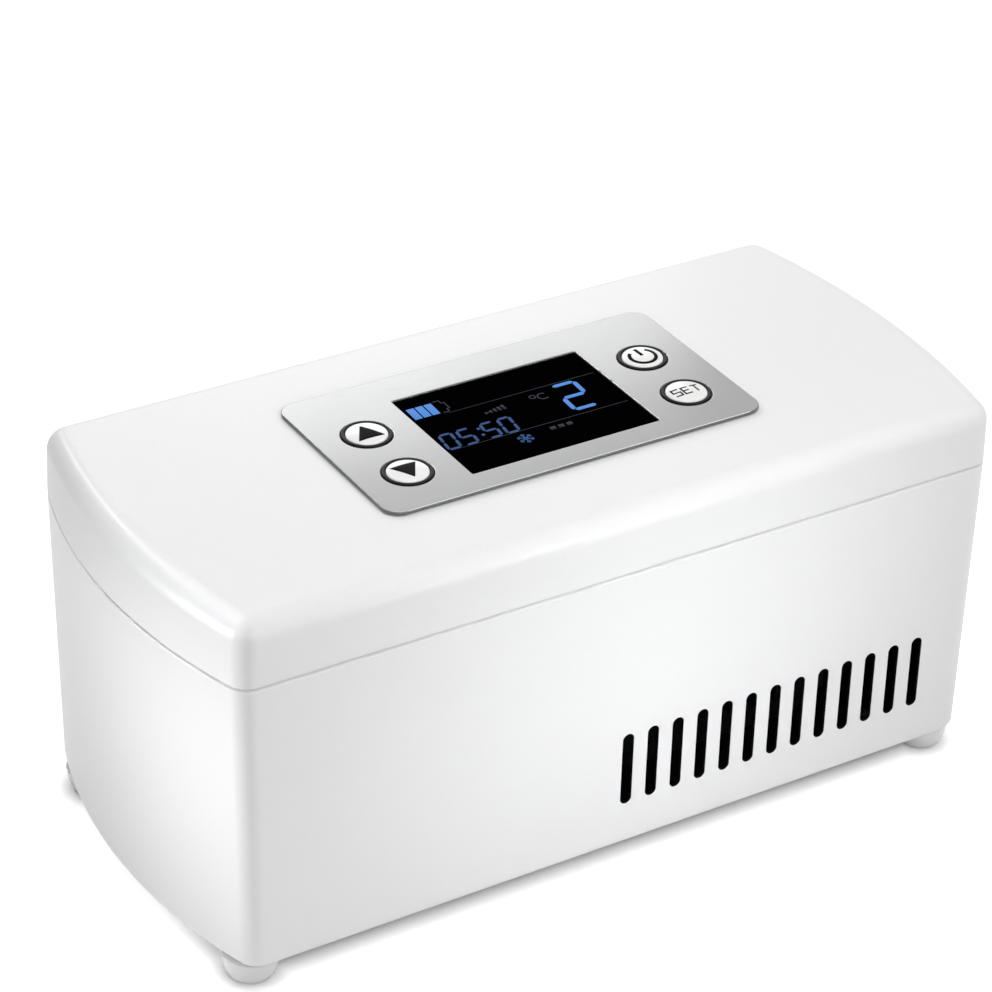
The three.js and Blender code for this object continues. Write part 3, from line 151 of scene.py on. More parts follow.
# Hinge and power socket
KNUCKLE_RADIUS = 2.8
LID_KNUCKLE = 44
BASE_KNUCKLE = 16
KNUCKLE_WEB = 9
WEB_ROUND = 1.4
PIN_RADIUS = 1.3
PIN_SEAT = 10.4
SOCKET_NOSE_RADIUS = 4
SOCKET_BORE_RADIUS = 2.9
SOCKET_PIN_RADIUS = 1
SOCKET_WELL = 10
SOCKET_EDGE = 0.2
SOCKET_NOSE_EDGE = 0.25
SOCKET_PIN_EDGE = 0.15

# Steps of curves
CORNER_STEPS = 14
END_STEPS = 36
ROUND_STEPS = 8
SLOT_STEPS = 12
DISC_STEPS = 72
SMALL_STEPS = 32

# Name endings of repeated pieces
CORNERS = ("front_left", "front_right", "rear_left", "rear_right")
KEYS = ("up", "down", "power", "set")

# Levels and plan places
half_length = CASE_LENGTH / 2
half_depth = CASE_DEPTH / 2
floor_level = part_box("lower_housing")[0].z / MM
lid_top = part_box("lid_shell")[1].z / MM
hinge = next(joint for joint in frame["joints"] if joint["name"] == "lid_hinge")
seam = hinge["pos_m"][2] / MM
rim_top = seam - SEAM_GAP / 2
lid_rim = seam + SEAM_GAP / 2
ceiling = lid_top - LID_CEILING
vent_low = floor_level + VENT_LIFT
deck_top = rim_top - DECK_DROP
deck_bottom = deck_top - DECK_THICKNESS
cover_top = floor_level + COVER_THICKNESS
ledge_top = cover_top + FIT + LEDGE_HEIGHT
liner_top = deck_bottom - FIT
chamber_floor = liner_top - CHAMBER_DEPTH
chamber_length = CASE_LENGTH - 2 * END_INSULATION
chamber_width = CASE_DEPTH - 2 * SIDE_INSULATION
seal_top = deck_top + SEAL_HEIGHT
pan_bottom = seal_top + FIT
pan_top = pan_bottom + LID_LINER
panel_low = lid_top + FILM
panel_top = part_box("control_panel")[1].z / MM
window_top = panel_top - WINDOW_RECESS
hinge_y = half_depth + FIT + KNUCKLE_RADIUS
base_knuckle_left = LID_KNUCKLE / 2 + FIT
base_knuckle_right = base_knuckle_left + BASE_KNUCKLE
case_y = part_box("lid_shell")[0].y / MM + half_depth


def in_case(place):
    """A place of the frame, in millimetres about the middle of the case."""
    return place / MM - Vector((0, case_y, 0))


def box_mm(node):
    """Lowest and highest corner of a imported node."""
    low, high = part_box(node)
    return in_case(low), in_case(high)


def centre_of(node):
    low, high = box_mm(node)
    return (low + high) / 2


def half_size_of(node):
    low, high = box_mm(node)
    return (high - low) / 2


# Outlines, counterclockwise from above
def arc(cx, cy, radius, start, end, steps):
    points = []
    for i in range(steps + 1):
        angle = start + (end - start) * i / steps
        points.append((cx + radius * math.cos(angle), cy + radius * math.sin(angle)))
    return points


def circle(radius, cx=0, cy=0, steps=DISC_STEPS):
    return arc(cx, cy, radius, 0, 2 * math.pi, steps)[:-1]


def rounded_box(half_x, half_y, corner, bow_radius=None):
    """Straight long sides, round corners and ends that are flat or bowed to a radius.

    All such outlines have the same count of points, so that any two can be lofted.
    """
    quarter = math.pi / 2
    centre_y = half_y - corner
    if bow_radius:
        bow_x = half_x - bow_radius
        centre_x = bow_x + math.sqrt((bow_radius - corner) ** 2 - centre_y ** 2)
        tangent = math.atan2(centre_y, centre_x - bow_x)
        bow = arc(bow_x, 0, bow_radius, -tangent, tangent, END_STEPS)[1:-1]
    else:
        centre_x = half_x - corner
        tangent = 0
        shares = [2 * i / END_STEPS - 1 for i in range(1, END_STEPS)]
        bow = [(half_x, share * centre_y) for share in shares]
    end = arc(centre_x, -centre_y, corner, -quarter, -tangent, CORNER_STEPS)
    end += bow
    end += arc(centre_x, centre_y, corner, tangent, quarter, CORNER_STEPS)
    return end + [(-x, -y) for x, y in end]


def case_outline(inset, draft=0, bow=END_BOW):
    """Outline of the case moved in by the inset, with its ends drawn in by the draft or bowed less."""
    corner = max(CORNER_RADIUS - inset, SMALLEST_CORNER)
    reach = half_length - draft - (END_BOW - bow)
    bow_radius = (half_depth ** 2 + bow ** 2) / (2 * bow)
    return rounded_box(reach - inset, half_depth - inset, corner, bow_radius - inset)


def chamber_outline(offset):
    corner = CHAMBER_CORNER + offset
    return rounded_box(chamber_length / 2 + offset, chamber_width / 2 + offset, corner)


def slot_outline(width, length):
    """Upright slot with round ends about the origin."""
    radius = width / 2
    reach = length / 2 - radius
    top = arc(0, reach, radius, 0, math.pi, SLOT_STEPS)
    return top + [(-x, -y) for x, y in top]


def level(outline, z):
    return [(x, y, z) for x, y in outline]


def wall_level(inset, z):
    """Outline of the housing wall, which narrows at its ends towards the floor."""
    draft = END_DRAFT * (seam - z) / (seam - floor_level)
    return level(case_outline(inset, draft), z)


def lid_level(inset, z):
    """Outline of the lid wall, whose ends bow less towards the top."""
    share = (z - lid_rim) / (lid_top - lid_rim)
    bow = END_BOW + (LID_TOP_BOW - END_BOW) * share
    return level(case_outline(inset, bow=bow), z)


def chamber_level(offset, z):
    return level(chamber_outline(offset), z)


def round_over(make_level, inset, z, radius, inward, upward, steps=ROUND_STEPS):
    """Levels of a quarter round that starts upright at the inset and ends flat at the height z."""
    levels = []
    for i in range(steps + 1):
        angle = math.pi / 2 * i / steps
        across = radius * (1 - math.cos(angle))
        along = radius * (1 - math.sin(angle))
        levels.append(make_level(inset + inward * across, z - upward * along))
    return levels


def shifted(outline, dx, dy):
    return [(x + dx, y + dy) for x, y in outline]


# Meshes
class Shape:
    """Points and faces of one mesh, in millimetres about the middle of the case."""

    def __init__(self):
        self.points = []
        self.faces = []

    def add(self, points, faces):
        start = len(self.points)
        self.points.extend(points)
        self.faces.extend([start + i for i in face] for face in faces)
        return self

    def loft(self, rings, sleeve=False):
        """Skin over rings of equal count, capped at its ends or joined up as a sleeve."""
        count = len(rings[0])
        faces = []
        bands = len(rings) if sleeve else len(rings) - 1
        for band in range(bands):
            low = band * count
            high = (band + 1) % len(rings) * count
            for i in range(count):
                j = (i + 1) % count
                faces.append((low + i, low + j, high + j, high + i))
        if not sleeve:
            last = (len(rings) - 1) * count
            faces.append(range(count - 1, -1, -1))
            faces.append(range(last, last + count))
        return self.add([point for ring in rings for point in ring], faces)

    def prism(self, outline, low, high):
        return self.loft([level(outline, low), level(outline, high)])

    def lathe(self, profile, x=0, y=0, sleeve=False, steps=DISC_STEPS):
        """Body of revolution about an upright axis from pairs of radius and height."""
        return self.loft([level(circle(radius, x, y, steps), z) for radius, z in profile], sleeve)

    def lathe_y(self, profile, x, z, sleeve=False, steps=DISC_STEPS):
        """Body of revolution about an axis along Y from pairs of radius and depth."""
        rings = []
        for radius, y in profile:
            rings.append([(u, y, v) for u, v in circle(radius, x, z, steps)])
        return self.loft(rings, sleeve)

    def along_x(self, outline, left, right):
        """Prism along X of an outline drawn in Y and Z."""
        return self.loft([[(x, y, z) for y, z in outline] for x in (left, right)])

    def along_y(self, outline, back, front):
        """Prism along Y of an outline drawn in X and Z."""
        return self.loft([[(x, y, z) for x, z in outline] for y in (back, front)])

    def patch(self, left, right, columns, height):
        """Sheet between two lines of equal count, laid on a surface of the given height."""
        points = []
        for (ax, ay), (bx, by) in zip(left, right):
            for i in range(columns + 1):
                x = ax + (bx - ax) * i / columns
                y = ay + (by - ay) * i / columns
                points.append((x, y, height(x, y)))
        faces = []
        row = columns + 1
        for i in range(len(left) - 1):
            for j in range(columns):
                start = i * row + j
                faces.append((start, start + 1, start + row + 1, start + row))
        return self.add(points, faces)

    def move_y(self, dy):
        self.points = [(x, y + dy, z) for x, y, z in self.points]
        return self

    def build(self, name):
        mesh = bpy.data.meshes.new(name)
        places = [(x * MM, (y + case_y) * MM, z * MM) for x, y, z in self.points]
        mesh.from_pydata(places, [], [list(face) for face in self.faces])
        mesh.polygons.foreach_set("use_smooth", [True] * len(mesh.polygons))
        obj = bpy.data.objects.new(name, mesh)
        bpy.context.collection.objects.link(obj)
        return obj


def cut(obj, shape):
    """Takes a shape away from a piece for good."""
    cutter = shape.build("cutter")
    modifier = obj.modifiers.new("cut", "BOOLEAN")
    modifier.object = cutter
    modifier.operation = "DIFFERENCE"
    modifier.solver = "EXACT"
    bpy.context.view_layer.update()
    evaluated = obj.evaluated_get(bpy.context.evaluated_depsgraph_get())
    mesh = bpy.data.meshes.new_from_object(evaluated)
    obj.modifiers.clear()
    obj.data = mesh
    mesh.polygons.foreach_set("use_smooth", [True] * len(mesh.polygons))
    bpy.data.objects.remove(cutter)


def soften(obj, width, segments=2):
    """Rounds sharp edges and keeps flat faces flat in the shading."""
    bevel = obj.modifiers.new("edges", "BEVEL")
    bevel.width = width * MM
    bevel.segments = segments
    bevel.limit_method = "ANGLE"
    bevel.angle_limit = math.radians(SHARP_ANGLE)
    bevel.use_clamp_overlap = True
    bevel.miter_outer = "MITER_ARC"
    flatten(obj)


def flatten(obj):
    """Lets large faces rule the shading at their edges."""
    normals = obj.modifiers.new("normals", "WEIGHTED_NORMAL")
    normals.mode = "FACE_AREA"
    normals.weight = 80


def dress(obj, material, body, slot, *nodes):
    """Gives a piece its material, the body it moves with and the nodes it stands for."""
    obj.data.materials.clear()
    obj.data.materials.append(material)
    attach(obj, body)
    if nodes:
        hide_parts(*nodes)


def paint_shade_on_faces(obj, material, chosen):
    """Gives the chosen faces of a piece a second material, which paints shade on them."""
    obj.data.materials.append(material)
    for face in obj.data.polygons:
        if chosen(face):
            face.material_index = 1


# Materials
EVEN = (1, 1, 1)
BRUSHED_IN_X = (0.05, 1, 1)
BRUSHED_IN_Y = (1, 0.05, 1)
GLOSS_DRIFT = 0.15
DOT_SCALE = 2600
DOT_DIMMING = 0.82


def set_inputs(node, **values):
    """Sets inputs of a shader node, named with underscores for spaces."""
    for name, value in values.items():
        node.inputs[name.replace("_", " ")].default_value = value


def new_node(tree, kind, **values):
    node = tree.nodes.new("ShaderNode" + kind)
    set_inputs(node, **values)
    return node


def new_material(name):
    """Material with its node tree, its shader and the places of an object's points."""
    material = bpy.data.materials.new(name)
    material.use_nodes = True
    tree = material.node_tree
    coordinates = new_node(tree, "TexCoord").outputs["Object"]
    return material, tree, tree.nodes["Principled BSDF"], coordinates


def noise(tree, coordinates, scale, detail, stretch=EVEN):
    mapping = new_node(tree, "Mapping", Scale=stretch)
    texture = new_node(tree, "TexNoise", Scale=scale, Detail=detail)
    tree.links.new(coordinates, mapping.inputs["Vector"])
    tree.links.new(mapping.outputs["Vector"], texture.inputs["Vector"])
    return texture.outputs["Fac"]


def ramp(tree, factor, stops):
    node = new_node(tree, "ValToRGB")
    elements = node.color_ramp.elements
    while len(elements) < len(stops):
        elements.new(0.5)
    for element, (position, color) in zip(elements, stops):
        element.position = position
        element.color = (*color, 1)
    tree.links.new(factor, node.inputs["Fac"])
    return node.outputs["Color"]


def spread(tree, factor, low, high, start=0.3, end=0.7):
    """Maps a factor between start and end to values from low to high."""
    node = new_node(tree, "MapRange", From_Min=start, From_Max=end, To_Min=low, To_Max=high)
    tree.links.new(factor, node.inputs["Value"])
    return node.outputs["Result"]


def bump(tree, shader, height, depth):
    node = new_node(tree, "Bump", Strength=1, Distance=depth * MM)
    tree.links.new(height, node.inputs["Height"])
    tree.links.new(node.outputs["Normal"], shader.inputs["Normal"])


def finish(name, color, roughness, grain, depth, shade, stretch=EVEN, mottle=35, **sockets):
    """Moulded, rolled or cast surface: grain in its relief and gloss, and slow drift in its colour.

    Grain and mottle are noise scales per metre, depth is the relief in millimetres, and shade is
    how much darker the colour drifts. Sockets are further inputs of the shader.
    """
    material, tree, shader, coordinates = new_material(name)
    fine = noise(tree, coordinates, grain, detail=4, stretch=stretch)
    slow = noise(tree, coordinates, mottle, detail=2)
    darker = tuple(channel * (1 - shade) for channel in color)
    tree.links.new(ramp(tree, slow, [(0.35, darker), (0.65, color)]), shader.inputs["Base Color"])
    gloss = spread(tree, fine, roughness * (1 - GLOSS_DRIFT), roughness * (1 + GLOSS_DRIFT))
    tree.links.new(gloss, shader.inputs["Roughness"])
    bump(tree, shader, fine, depth)
    set_inputs(shader, **sockets)
    return material


def lit(name, color):
    """Glowing segments behind the window, broken into a fine dot pattern."""
    material, tree, shader, coordinates = new_material(name)
    dots = new_node(tree, "TexVoronoi", Scale=DOT_SCALE, Randomness=0)
    tree.links.new(coordinates, dots.inputs["Vector"])
    dim = tuple(channel * DOT_DIMMING for channel in color)
    glow = ramp(tree, dots.outputs["Distance"], [(0.25, color), (0.6, dim)])
    tree.links.new(glow, shader.inputs["Emission Color"])
    set_inputs(shader, Emission_Strength=1, Base_Color=(0.01, 0.01, 0.015, 1))
    set_inputs(shader, Roughness=0.5, Specular_IOR_Level=0.05)
    return material


def circuit(name):
    """Solder mask over copper tracks, with tinned pads."""
    material, tree, shader, coordinates = new_material(name)
    tracks = new_node(
        tree, "TexBrick", Scale=220, Mortar_Size=0.06, Mortar=(0.02, 0.16, 0.07, 1),
        Color1=(0.006, 0.07, 0.028, 1), Color2=(0.008, 0.085, 0.034, 1),
    )
    tree.links.new(coordinates, tracks.inputs["Vector"])
    pads = new_node(tree, "TexVoronoi", Scale=330)
    tree.links.new(coordinates, pads.inputs["Vector"])
    tin = spread(tree, pads.outputs["Distance"], low=1, high=0, start=0.1, end=0.16)
    mix = new_node(tree, "Mix")
    mix.data_type = "RGBA"
    tree.links.new(tin, mix.inputs["Factor"])
    tree.links.new(tracks.outputs["Color"], mix.inputs["A"])
    set_inputs(mix, B=(0.55, 0.55, 0.52, 1))
    tree.links.new(mix.outputs["Result"], shader.inputs["Base Color"])
    set_inputs(shader, Roughness=0.4)
    bump(tree, shader, tin, depth=0.08)
    return material


shell_white = finish(
    "shell_white", (0.87, 0.87, 0.872), 0.34, 2600, 0.0012, 0.006,
    Specular_IOR_Level=0.3, Coat_Weight=0.06, Coat_Roughness=0.15,
)
inner_white = finish("inner_white", (0.76, 0.76, 0.755), 0.42, 1800, 0.008, 0.02)
cap_white = finish(
    "cap_white", (0.86, 0.86, 0.85), 0.14, 1500, 0.003, 0.02, Coat_Weight=0.4, Coat_Roughness=0.05,
)
ring_black = finish("ring_black", (0.004, 0.004, 0.005), 0.32, 3000, 0.004, 0.2, Specular_IOR_Level=0.15)
matt_black = finish("matt_black", (0.012, 0.012, 0.013), 0.5, 2400, 0.01, 0.25)
print_black = finish("print_black", (0.003, 0.003, 0.0035), 0.5, 3500, 0.003, 0.2, Specular_IOR_Level=0.04)
lens_black = finish("lens_black", (0.0006, 0.0006, 0.0009), 0.15, 900, 0.0004, 0.2, Specular_IOR_Level=0)
# Near-black painted shade for the inner faces seen through the slots, standing in for the shade inside the
# case.
painted_shade_black = finish("painted_shade_black", (0.006, 0.006, 0.006), 0.8, 1600, 0.05, 0.3, Specular_IOR_Level=0.05)
seal_grey = finish("seal_grey", (0.16, 0.165, 0.17), 0.62, 2200, 0.02, 0.12)
clear_rubber = finish(
    "clear_rubber", (0.95, 0.95, 0.95), 0.05, 700, 0.001, 0.02,
    Transmission_Weight=0.15, IOR=1.41, Coat_Weight=0.5, Coat_Roughness=0.04,
    Subsurface_Weight=0.7, Subsurface_Radius=EVEN, Subsurface_Scale=0.004,
)
panel_silver = finish(
    "panel_silver", (0.39, 0.392, 0.395), 0.22, 5200, 0.002, 0.06, BRUSHED_IN_X, 22, Metallic=1,
)
# Dark finish for the plate's sides, painted shade standing in for the shadow on them.
panel_side_shade = finish("panel_side_shade", (0.13, 0.13, 0.132), 0.4, 4200, 0.004, 0.1, BRUSHED_IN_X, 22)
tub_metal = finish("tub_metal", (0.66, 0.67, 0.68), 0.33, 4200, 0.006, 0.08, BRUSHED_IN_X, 18, Metallic=1)
sink_metal = finish(
    "sink_metal", (0.012, 0.012, 0.013), 0.5, 3600, 0.01, 0.2, BRUSHED_IN_Y, 40, Metallic=0.6,
)
steel = finish("steel", (0.52, 0.52, 0.53), 0.28, 3400, 0.006, 0.1, mottle=120, Metallic=1)
foam_cream = finish("foam_cream", (0.82, 0.79, 0.71), 0.92, 950, 0.25, 0.12, mottle=160)
ceramic = finish("ceramic", (0.83, 0.82, 0.79), 0.55, 2200, 0.01, 0.05)
cell_blue = finish("cell_blue", (0.03, 0.13, 0.42), 0.35, 1300, 0.01, 0.15, mottle=60)
lead_red = finish("lead_red", (0.40, 0.02, 0.015), 0.42, 1700, 0.01, 0.2)
lead_grey = finish("lead_grey", (0.045, 0.047, 0.052), 0.46, 1700, 0.01, 0.2)
board_green = circuit("board_green")
glow_blue = lit("glow_blue", (0.10, 0.31, 0.83))
glow_dim = lit("glow_dim", (0.028, 0.084, 0.24))
glow_faint = lit("glow_faint", (0.020, 0.022, 0.030))


# Lid
def window_outline(offset):
    """Outline of the display window's flange, moved out by the offset."""
    half = half_size_of("display_window")
    outline = rounded_box(half.x + offset, half.y + offset, DISPLAY_CORNER)
    return shifted(outline, 0, centre_of("display_window").y)


def display_holes(window_offset, low, high):
    """Holes for the button rings and the display window, through all between two heights."""
    bottom = low - OVERCUT
    top = high + OVERCUT
    holes = Shape()
    for name in KEYS:
        place = centre_of(f"button_bezel_{name}")
        holes.prism(circle(BEZEL_OUTER + FIT / 2, place.x, place.y), bottom, top)
    return holes.prism(window_outline(window_offset), bottom, top)


def lid_knuckle_outline():
    """Barrel and web of the lid's hinge, drawn in Y and Z."""
    lift = math.asin(SEAM_GAP / KNUCKLE_RADIUS)
    barrel = arc(hinge_y, seam, KNUCKLE_RADIUS, math.pi - lift, 2.5 * math.pi, DISC_STEPS)
    inside = half_depth - WALL / 2
    return barrel + [(inside, seam + KNUCKLE_RADIUS), (inside, seam + SEAM_GAP)]


def hinge_bore(left, right):
    return Shape().along_x(circle(PIN_RADIUS + FIT, hinge_y, seam, SMALL_STEPS), left, right)


def make_lid():
    rings = [
        lid_level(WALL + TOP_ROUND / 2, ceiling),
        lid_level(WALL, ceiling - TOP_ROUND / 2),
        lid_level(WALL, lid_rim),
    ]
    rings += round_over(lid_level, 0, lid_rim, EDGE_ROUND, inward=1, upward=-1)[::-1]
    rings += round_over(lid_level, 0, lid_top, TOP_ROUND, inward=1, upward=1, steps=2 * ROUND_STEPS)
    lid = Shape().loft(rings).build("lid_skin")
    cut(lid, display_holes(FIT, ceiling, lid_top))
    flatten(lid)
    dress(lid, shell_white, "lid", "white_shell", "lid_shell")


def make_lid_knuckle():
    barrel = Shape().along_x(lid_knuckle_outline(), -LID_KNUCKLE / 2, LID_KNUCKLE / 2)
    knuckle = barrel.build("lid_knuckle")
    cut(knuckle, hinge_bore(-LID_KNUCKLE, LID_KNUCKLE))
    soften(knuckle, SOFT_EDGE)
    dress(knuckle, shell_white, "lid", "white_shell", "lid_shell")


# Lower housing
def vent_slots(shape, front, back):
    for i in range(VENT_COUNT):
        x = COOLER_X + (i - (VENT_COUNT - 1) / 2) * VENT_PITCH
        outline = shifted(slot_outline(VENT_WIDTH, VENT_LENGTH), x, vent_low + VENT_LENGTH / 2)
        shape.along_y(outline, back, front)
    return shape


def vent_pockets():
    """Hollows behind the slots, where the wall is thin."""
    reach = ((VENT_COUNT - 1) * VENT_PITCH + VENT_WIDTH) / 2 + VENT_MARGIN
    outline = rounded_box(reach, VENT_LENGTH / 2 + VENT_MARGIN, VENT_MARGIN)
    outline = shifted(outline, COOLER_X, vent_low + VENT_LENGTH / 2)
    pockets = Shape()
    for side in (-1, 1):
        ends = [side * (half_depth - VENT_WALL), side * (half_depth - WALL - OVERCUT)]
        pockets.along_y(outline, max(ends), min(ends))
    return pockets


def base_knuckle_outline():
    """Barrel and sloping web of a housing knuckle, drawn in Y and Z."""
    inside = half_depth - WALL / 2
    back = hinge_y + KNUCKLE_RADIUS
    corner = arc(
        back - WEB_ROUND, seam - KNUCKLE_RADIUS + WEB_ROUND, WEB_ROUND, -math.pi / 4, 0, ROUND_STEPS,
    )
    barrel = arc(hinge_y, seam, KNUCKLE_RADIUS, 0, math.pi, DISC_STEPS // 2)
    foot = [(inside, seam - SEAM_GAP), (inside, seam - KNUCKLE_WEB - KNUCKLE_RADIUS)]
    return corner + barrel + [(hinge_y - KNUCKLE_RADIUS, seam - SEAM_GAP)] + foot


def make_housing():
    rings = round_over(wall_level, 0, floor_level, BASE_ROUND, inward=1, upward=-1)[::-1]
    rings += round_over(wall_level, 0, rim_top, EDGE_ROUND, inward=1, upward=1)
    tongue_top = lid_rim - TONGUE_GAP
    rings += [
        wall_level(TONGUE_INSET, tongue_top),
        wall_level(WALL, tongue_top),
        wall_level(WALL, liner_top),
        wall_level(WALL + DECK_LEDGE, liner_top),
        wall_level(WALL + DECK_LEDGE, deck_bottom - DECK_LEDGE),
        wall_level(WALL, deck_bottom - 2 * DECK_LEDGE),
        wall_level(WALL, ledge_top),
        wall_level(COVER_MARGIN + COVER_LEDGE, ledge_top),
        wall_level(COVER_MARGIN + COVER_LEDGE, cover_top + FIT),
        wall_level(COVER_MARGIN, cover_top + FIT),
        wall_level(COVER_MARGIN, floor_level),
    ]
    housing = Shape().loft(rings, sleeve=True).build("housing_skin")
    inner = half_depth - WALL - OVERCUT
    outer = half_depth + OVERCUT
    openings = vent_slots(Shape(), -outer, -inner)
    vent_slots(openings, inner, outer)
    socket = centre_of("dc_socket")
    openings.along_y(circle(SOCKET_NOSE_RADIUS + FIT, socket.x, socket.z), outer, inner)
    cut(housing, vent_pockets())
    cut(housing, openings)
    soften(housing, SOFT_EDGE)
    dress(housing, shell_white, "base", "white_shell", "lower_housing")
    # The bay behind the slots and the slot walls get near-black painted shade.
    paint_shade_on_faces(housing, painted_shade_black, lambda face: in_bay(face) or in_slot(face))


def make_housing_knuckles():
    barrels = Shape().along_x(base_knuckle_outline(), -base_knuckle_right, -base_knuckle_left)
    barrels.along_x(base_knuckle_outline(), base_knuckle_left, base_knuckle_right)
    knuckles = barrels.build("housing_knuckles")
    cut(knuckles, hinge_bore(-base_knuckle_left - PIN_SEAT, base_knuckle_left + PIN_SEAT))
    soften(knuckles, SOFT_EDGE)
    dress(knuckles, shell_white, "base", "white_shell", "lower_housing")


def in_bay(face):
    """True for faces of the ledge and wall round the cooler, which show through the slots."""
    place = in_case(face.center)
    inward = face.normal.xy.dot(place.xy) < INWARD_SLACK
    behind_slots = abs(place.y) < half_depth - VENT_WALL - FIT
    return inward and behind_slots and cover_top < place.z < deck_bottom - 2 * DECK_LEDGE


def in_slot(face):
    """True for the narrow walls of the air slots."""
    place = in_case(face.center)
    reach = VENT_COUNT * VENT_PITCH / 2
    in_row = abs(place.x - COOLER_X) < reach and vent_low < place.z < vent_low + VENT_LENGTH
    in_wall = half_depth - WALL < abs(place.y) < half_depth - SEAM_GAP / 2
    return in_row and in_wall and abs(face.normal.y) < FACING_SHARE


def screw_seats(shape, kind, low):
    """Recesses from below for the heads of one kind of screw."""
    for corner in CORNERS:
        place = centre_of(f"{kind}_screw_{corner}")
        seat = circle(SCREW_HEAD_RADIUS + FIT, place.x, place.y)
        shape.prism(seat, low - OVERCUT, low + SCREW_HEAD_HEIGHT + RECESS_GAP)
    return shape


def make_cover():
    outline = case_outline(COVER_MARGIN + FIT, END_DRAFT)
    cover = Shape().prism(outline, floor_level, cover_top).build("floor_cover")
    openings = Shape()
    reach = math.floor(INTAKE_RADIUS / INTAKE_PITCH)
    for i in range(-reach, reach + 1):
        offset = i * INTAKE_PITCH
        chord = 2 * math.sqrt(INTAKE_RADIUS ** 2 - offset ** 2)
        slot = slot_outline(INTAKE_SLOT, max(chord, 2 * INTAKE_SLOT))
        openings.prism(shifted(slot, COOLER_X + offset, 0), floor_level - OVERCUT, cover_top + OVERCUT)
    screw_seats(openings, "cover", floor_level)
    cut(cover, openings)
    soften(cover, SOFT_EDGE)
    dress(cover, inner_white, "base", "white_inner", "bottom_cover")
    # The cover's upward face, inside the case, gets near-black painted shade.
    paint_shade_on_faces(cover, painted_shade_black, lambda face: face.normal.z > FACING_SHARE)


def make_feet():
    for corner in CORNERS:
        node = f"foot_{corner}"
        low, high = box_mm(node)
        place = centre_of(node)
        foot_radius = half_size_of(node).x
        profile = [(FOOT_FLAT, low.z)]
        for i in range(1, 2 * ROUND_STEPS + 1):
            angle = math.pi / 4 * i / ROUND_STEPS
            radius = FOOT_FLAT + (foot_radius - FOOT_FLAT) * math.sin(angle)
            profile.append((radius, low.z + (high.z - low.z) * (1 - math.cos(angle))))
        foot = Shape().lathe(profile, place.x, place.y).build(f"bumper_{corner}")
        soften(foot, FOOT_EDGE)
        dress(foot, clear_rubber, "base", "clear_rubber", node)


def make_screws():
    for kind, body in (("cover", "base"), ("lid", "lid")):
        for corner in CORNERS:
            node = f"{kind}_screw_{corner}"
            low = box_mm(node)[0].z
            place = centre_of(node)
            profile = [
                (SCREW_HEAD_RADIUS - SCREW_CROWN, low),
                (SCREW_HEAD_RADIUS - SCREW_CROWN / 3, low + SCREW_CROWN / 4),
                (SCREW_HEAD_RADIUS, low + SCREW_CROWN),
                (SCREW_HEAD_RADIUS, low + SCREW_HEAD_HEIGHT),
                (SCREW_SHANK_RADIUS, low + SCREW_HEAD_HEIGHT),
                (SCREW_SHANK_RADIUS, low + SCREW_LENGTH),
            ]
            turned = Shape().lathe(profile, place.x, place.y, steps=SMALL_STEPS)
            screw = turned.build(f"fastener_{kind}_{corner}")
            for size_x, size_y in ((CROSS_LENGTH, CROSS_WIDTH), (CROSS_WIDTH, CROSS_LENGTH)):
                arm = shifted(rounded_box(size_x / 2, size_y / 2, CROSS_WIDTH / 4), place.x, place.y)
                cut(screw, Shape().prism(arm, low - OVERCUT, low + CROSS_DEPTH))
            soften(screw, SCREW_EDGE)
            dress(screw, steel, body, "steel", node)


# Chamber
def make_tub():
    outside = LINER_THICKNESS
    flange = LINER_THICKNESS + LINER_FLANGE
    rings = [
        chamber_level(outside - CHAMBER_DRAFT - CHAMBER_ROUND, chamber_floor - LINER_THICKNESS),
        chamber_level(outside - CHAMBER_DRAFT, chamber_floor - LINER_THICKNESS + CHAMBER_ROUND),
        chamber_level(outside, liner_top - LINER_THICKNESS),
        chamber_level(flange, liner_top - LINER_THICKNESS),
        chamber_level(flange, liner_top),
        chamber_level(0, liner_top),
    ]
    rings += round_over(chamber_level, -CHAMBER_DRAFT, chamber_floor, CHAMBER_ROUND, inward=-1, upward=-1)
    tub = Shape().loft(rings).build("chamber_tub")
    flatten(tub)
    dress(tub, tub_metal, "base", "aluminium", "chamber_liner")


def make_deck():
    outer = case_outline(WALL + FIT)
    rings = [
        level(outer, deck_bottom),
        level(outer, deck_top),
        *round_over(chamber_level, 0, deck_top, EDGE_ROUND, inward=1, upward=1)[::-1],
        chamber_level(0, deck_bottom),
    ]
    deck = Shape().loft(rings, sleeve=True).build("deck_plate")
    flatten(deck)
    dress(deck, inner_white, "base", "white_inner", "rim_deck")


def make_seal():
    """Rubber lip on the deck round the chamber, with a half round top."""
    middle = LINER_FLANGE / 2 + SEAL_WIDTH / 2
    low = deck_top + FILM
    shoulder = seal_top - SEAL_WIDTH / 2
    section = [(SEAL_WIDTH / 2, low)]
    section += [(x, shoulder + y) for x, y in arc(0, 0, SEAL_WIDTH / 2, 0, math.pi, 2 * ROUND_STEPS)]
    section += [(-SEAL_WIDTH / 2, low)]
    seal = Shape().loft([chamber_level(middle + x, z) for x, z in section], sleeve=True).build("lip_seal")
    flatten(seal)
    dress(seal, seal_grey, "base", "seal_rubber", "chamber_seal")


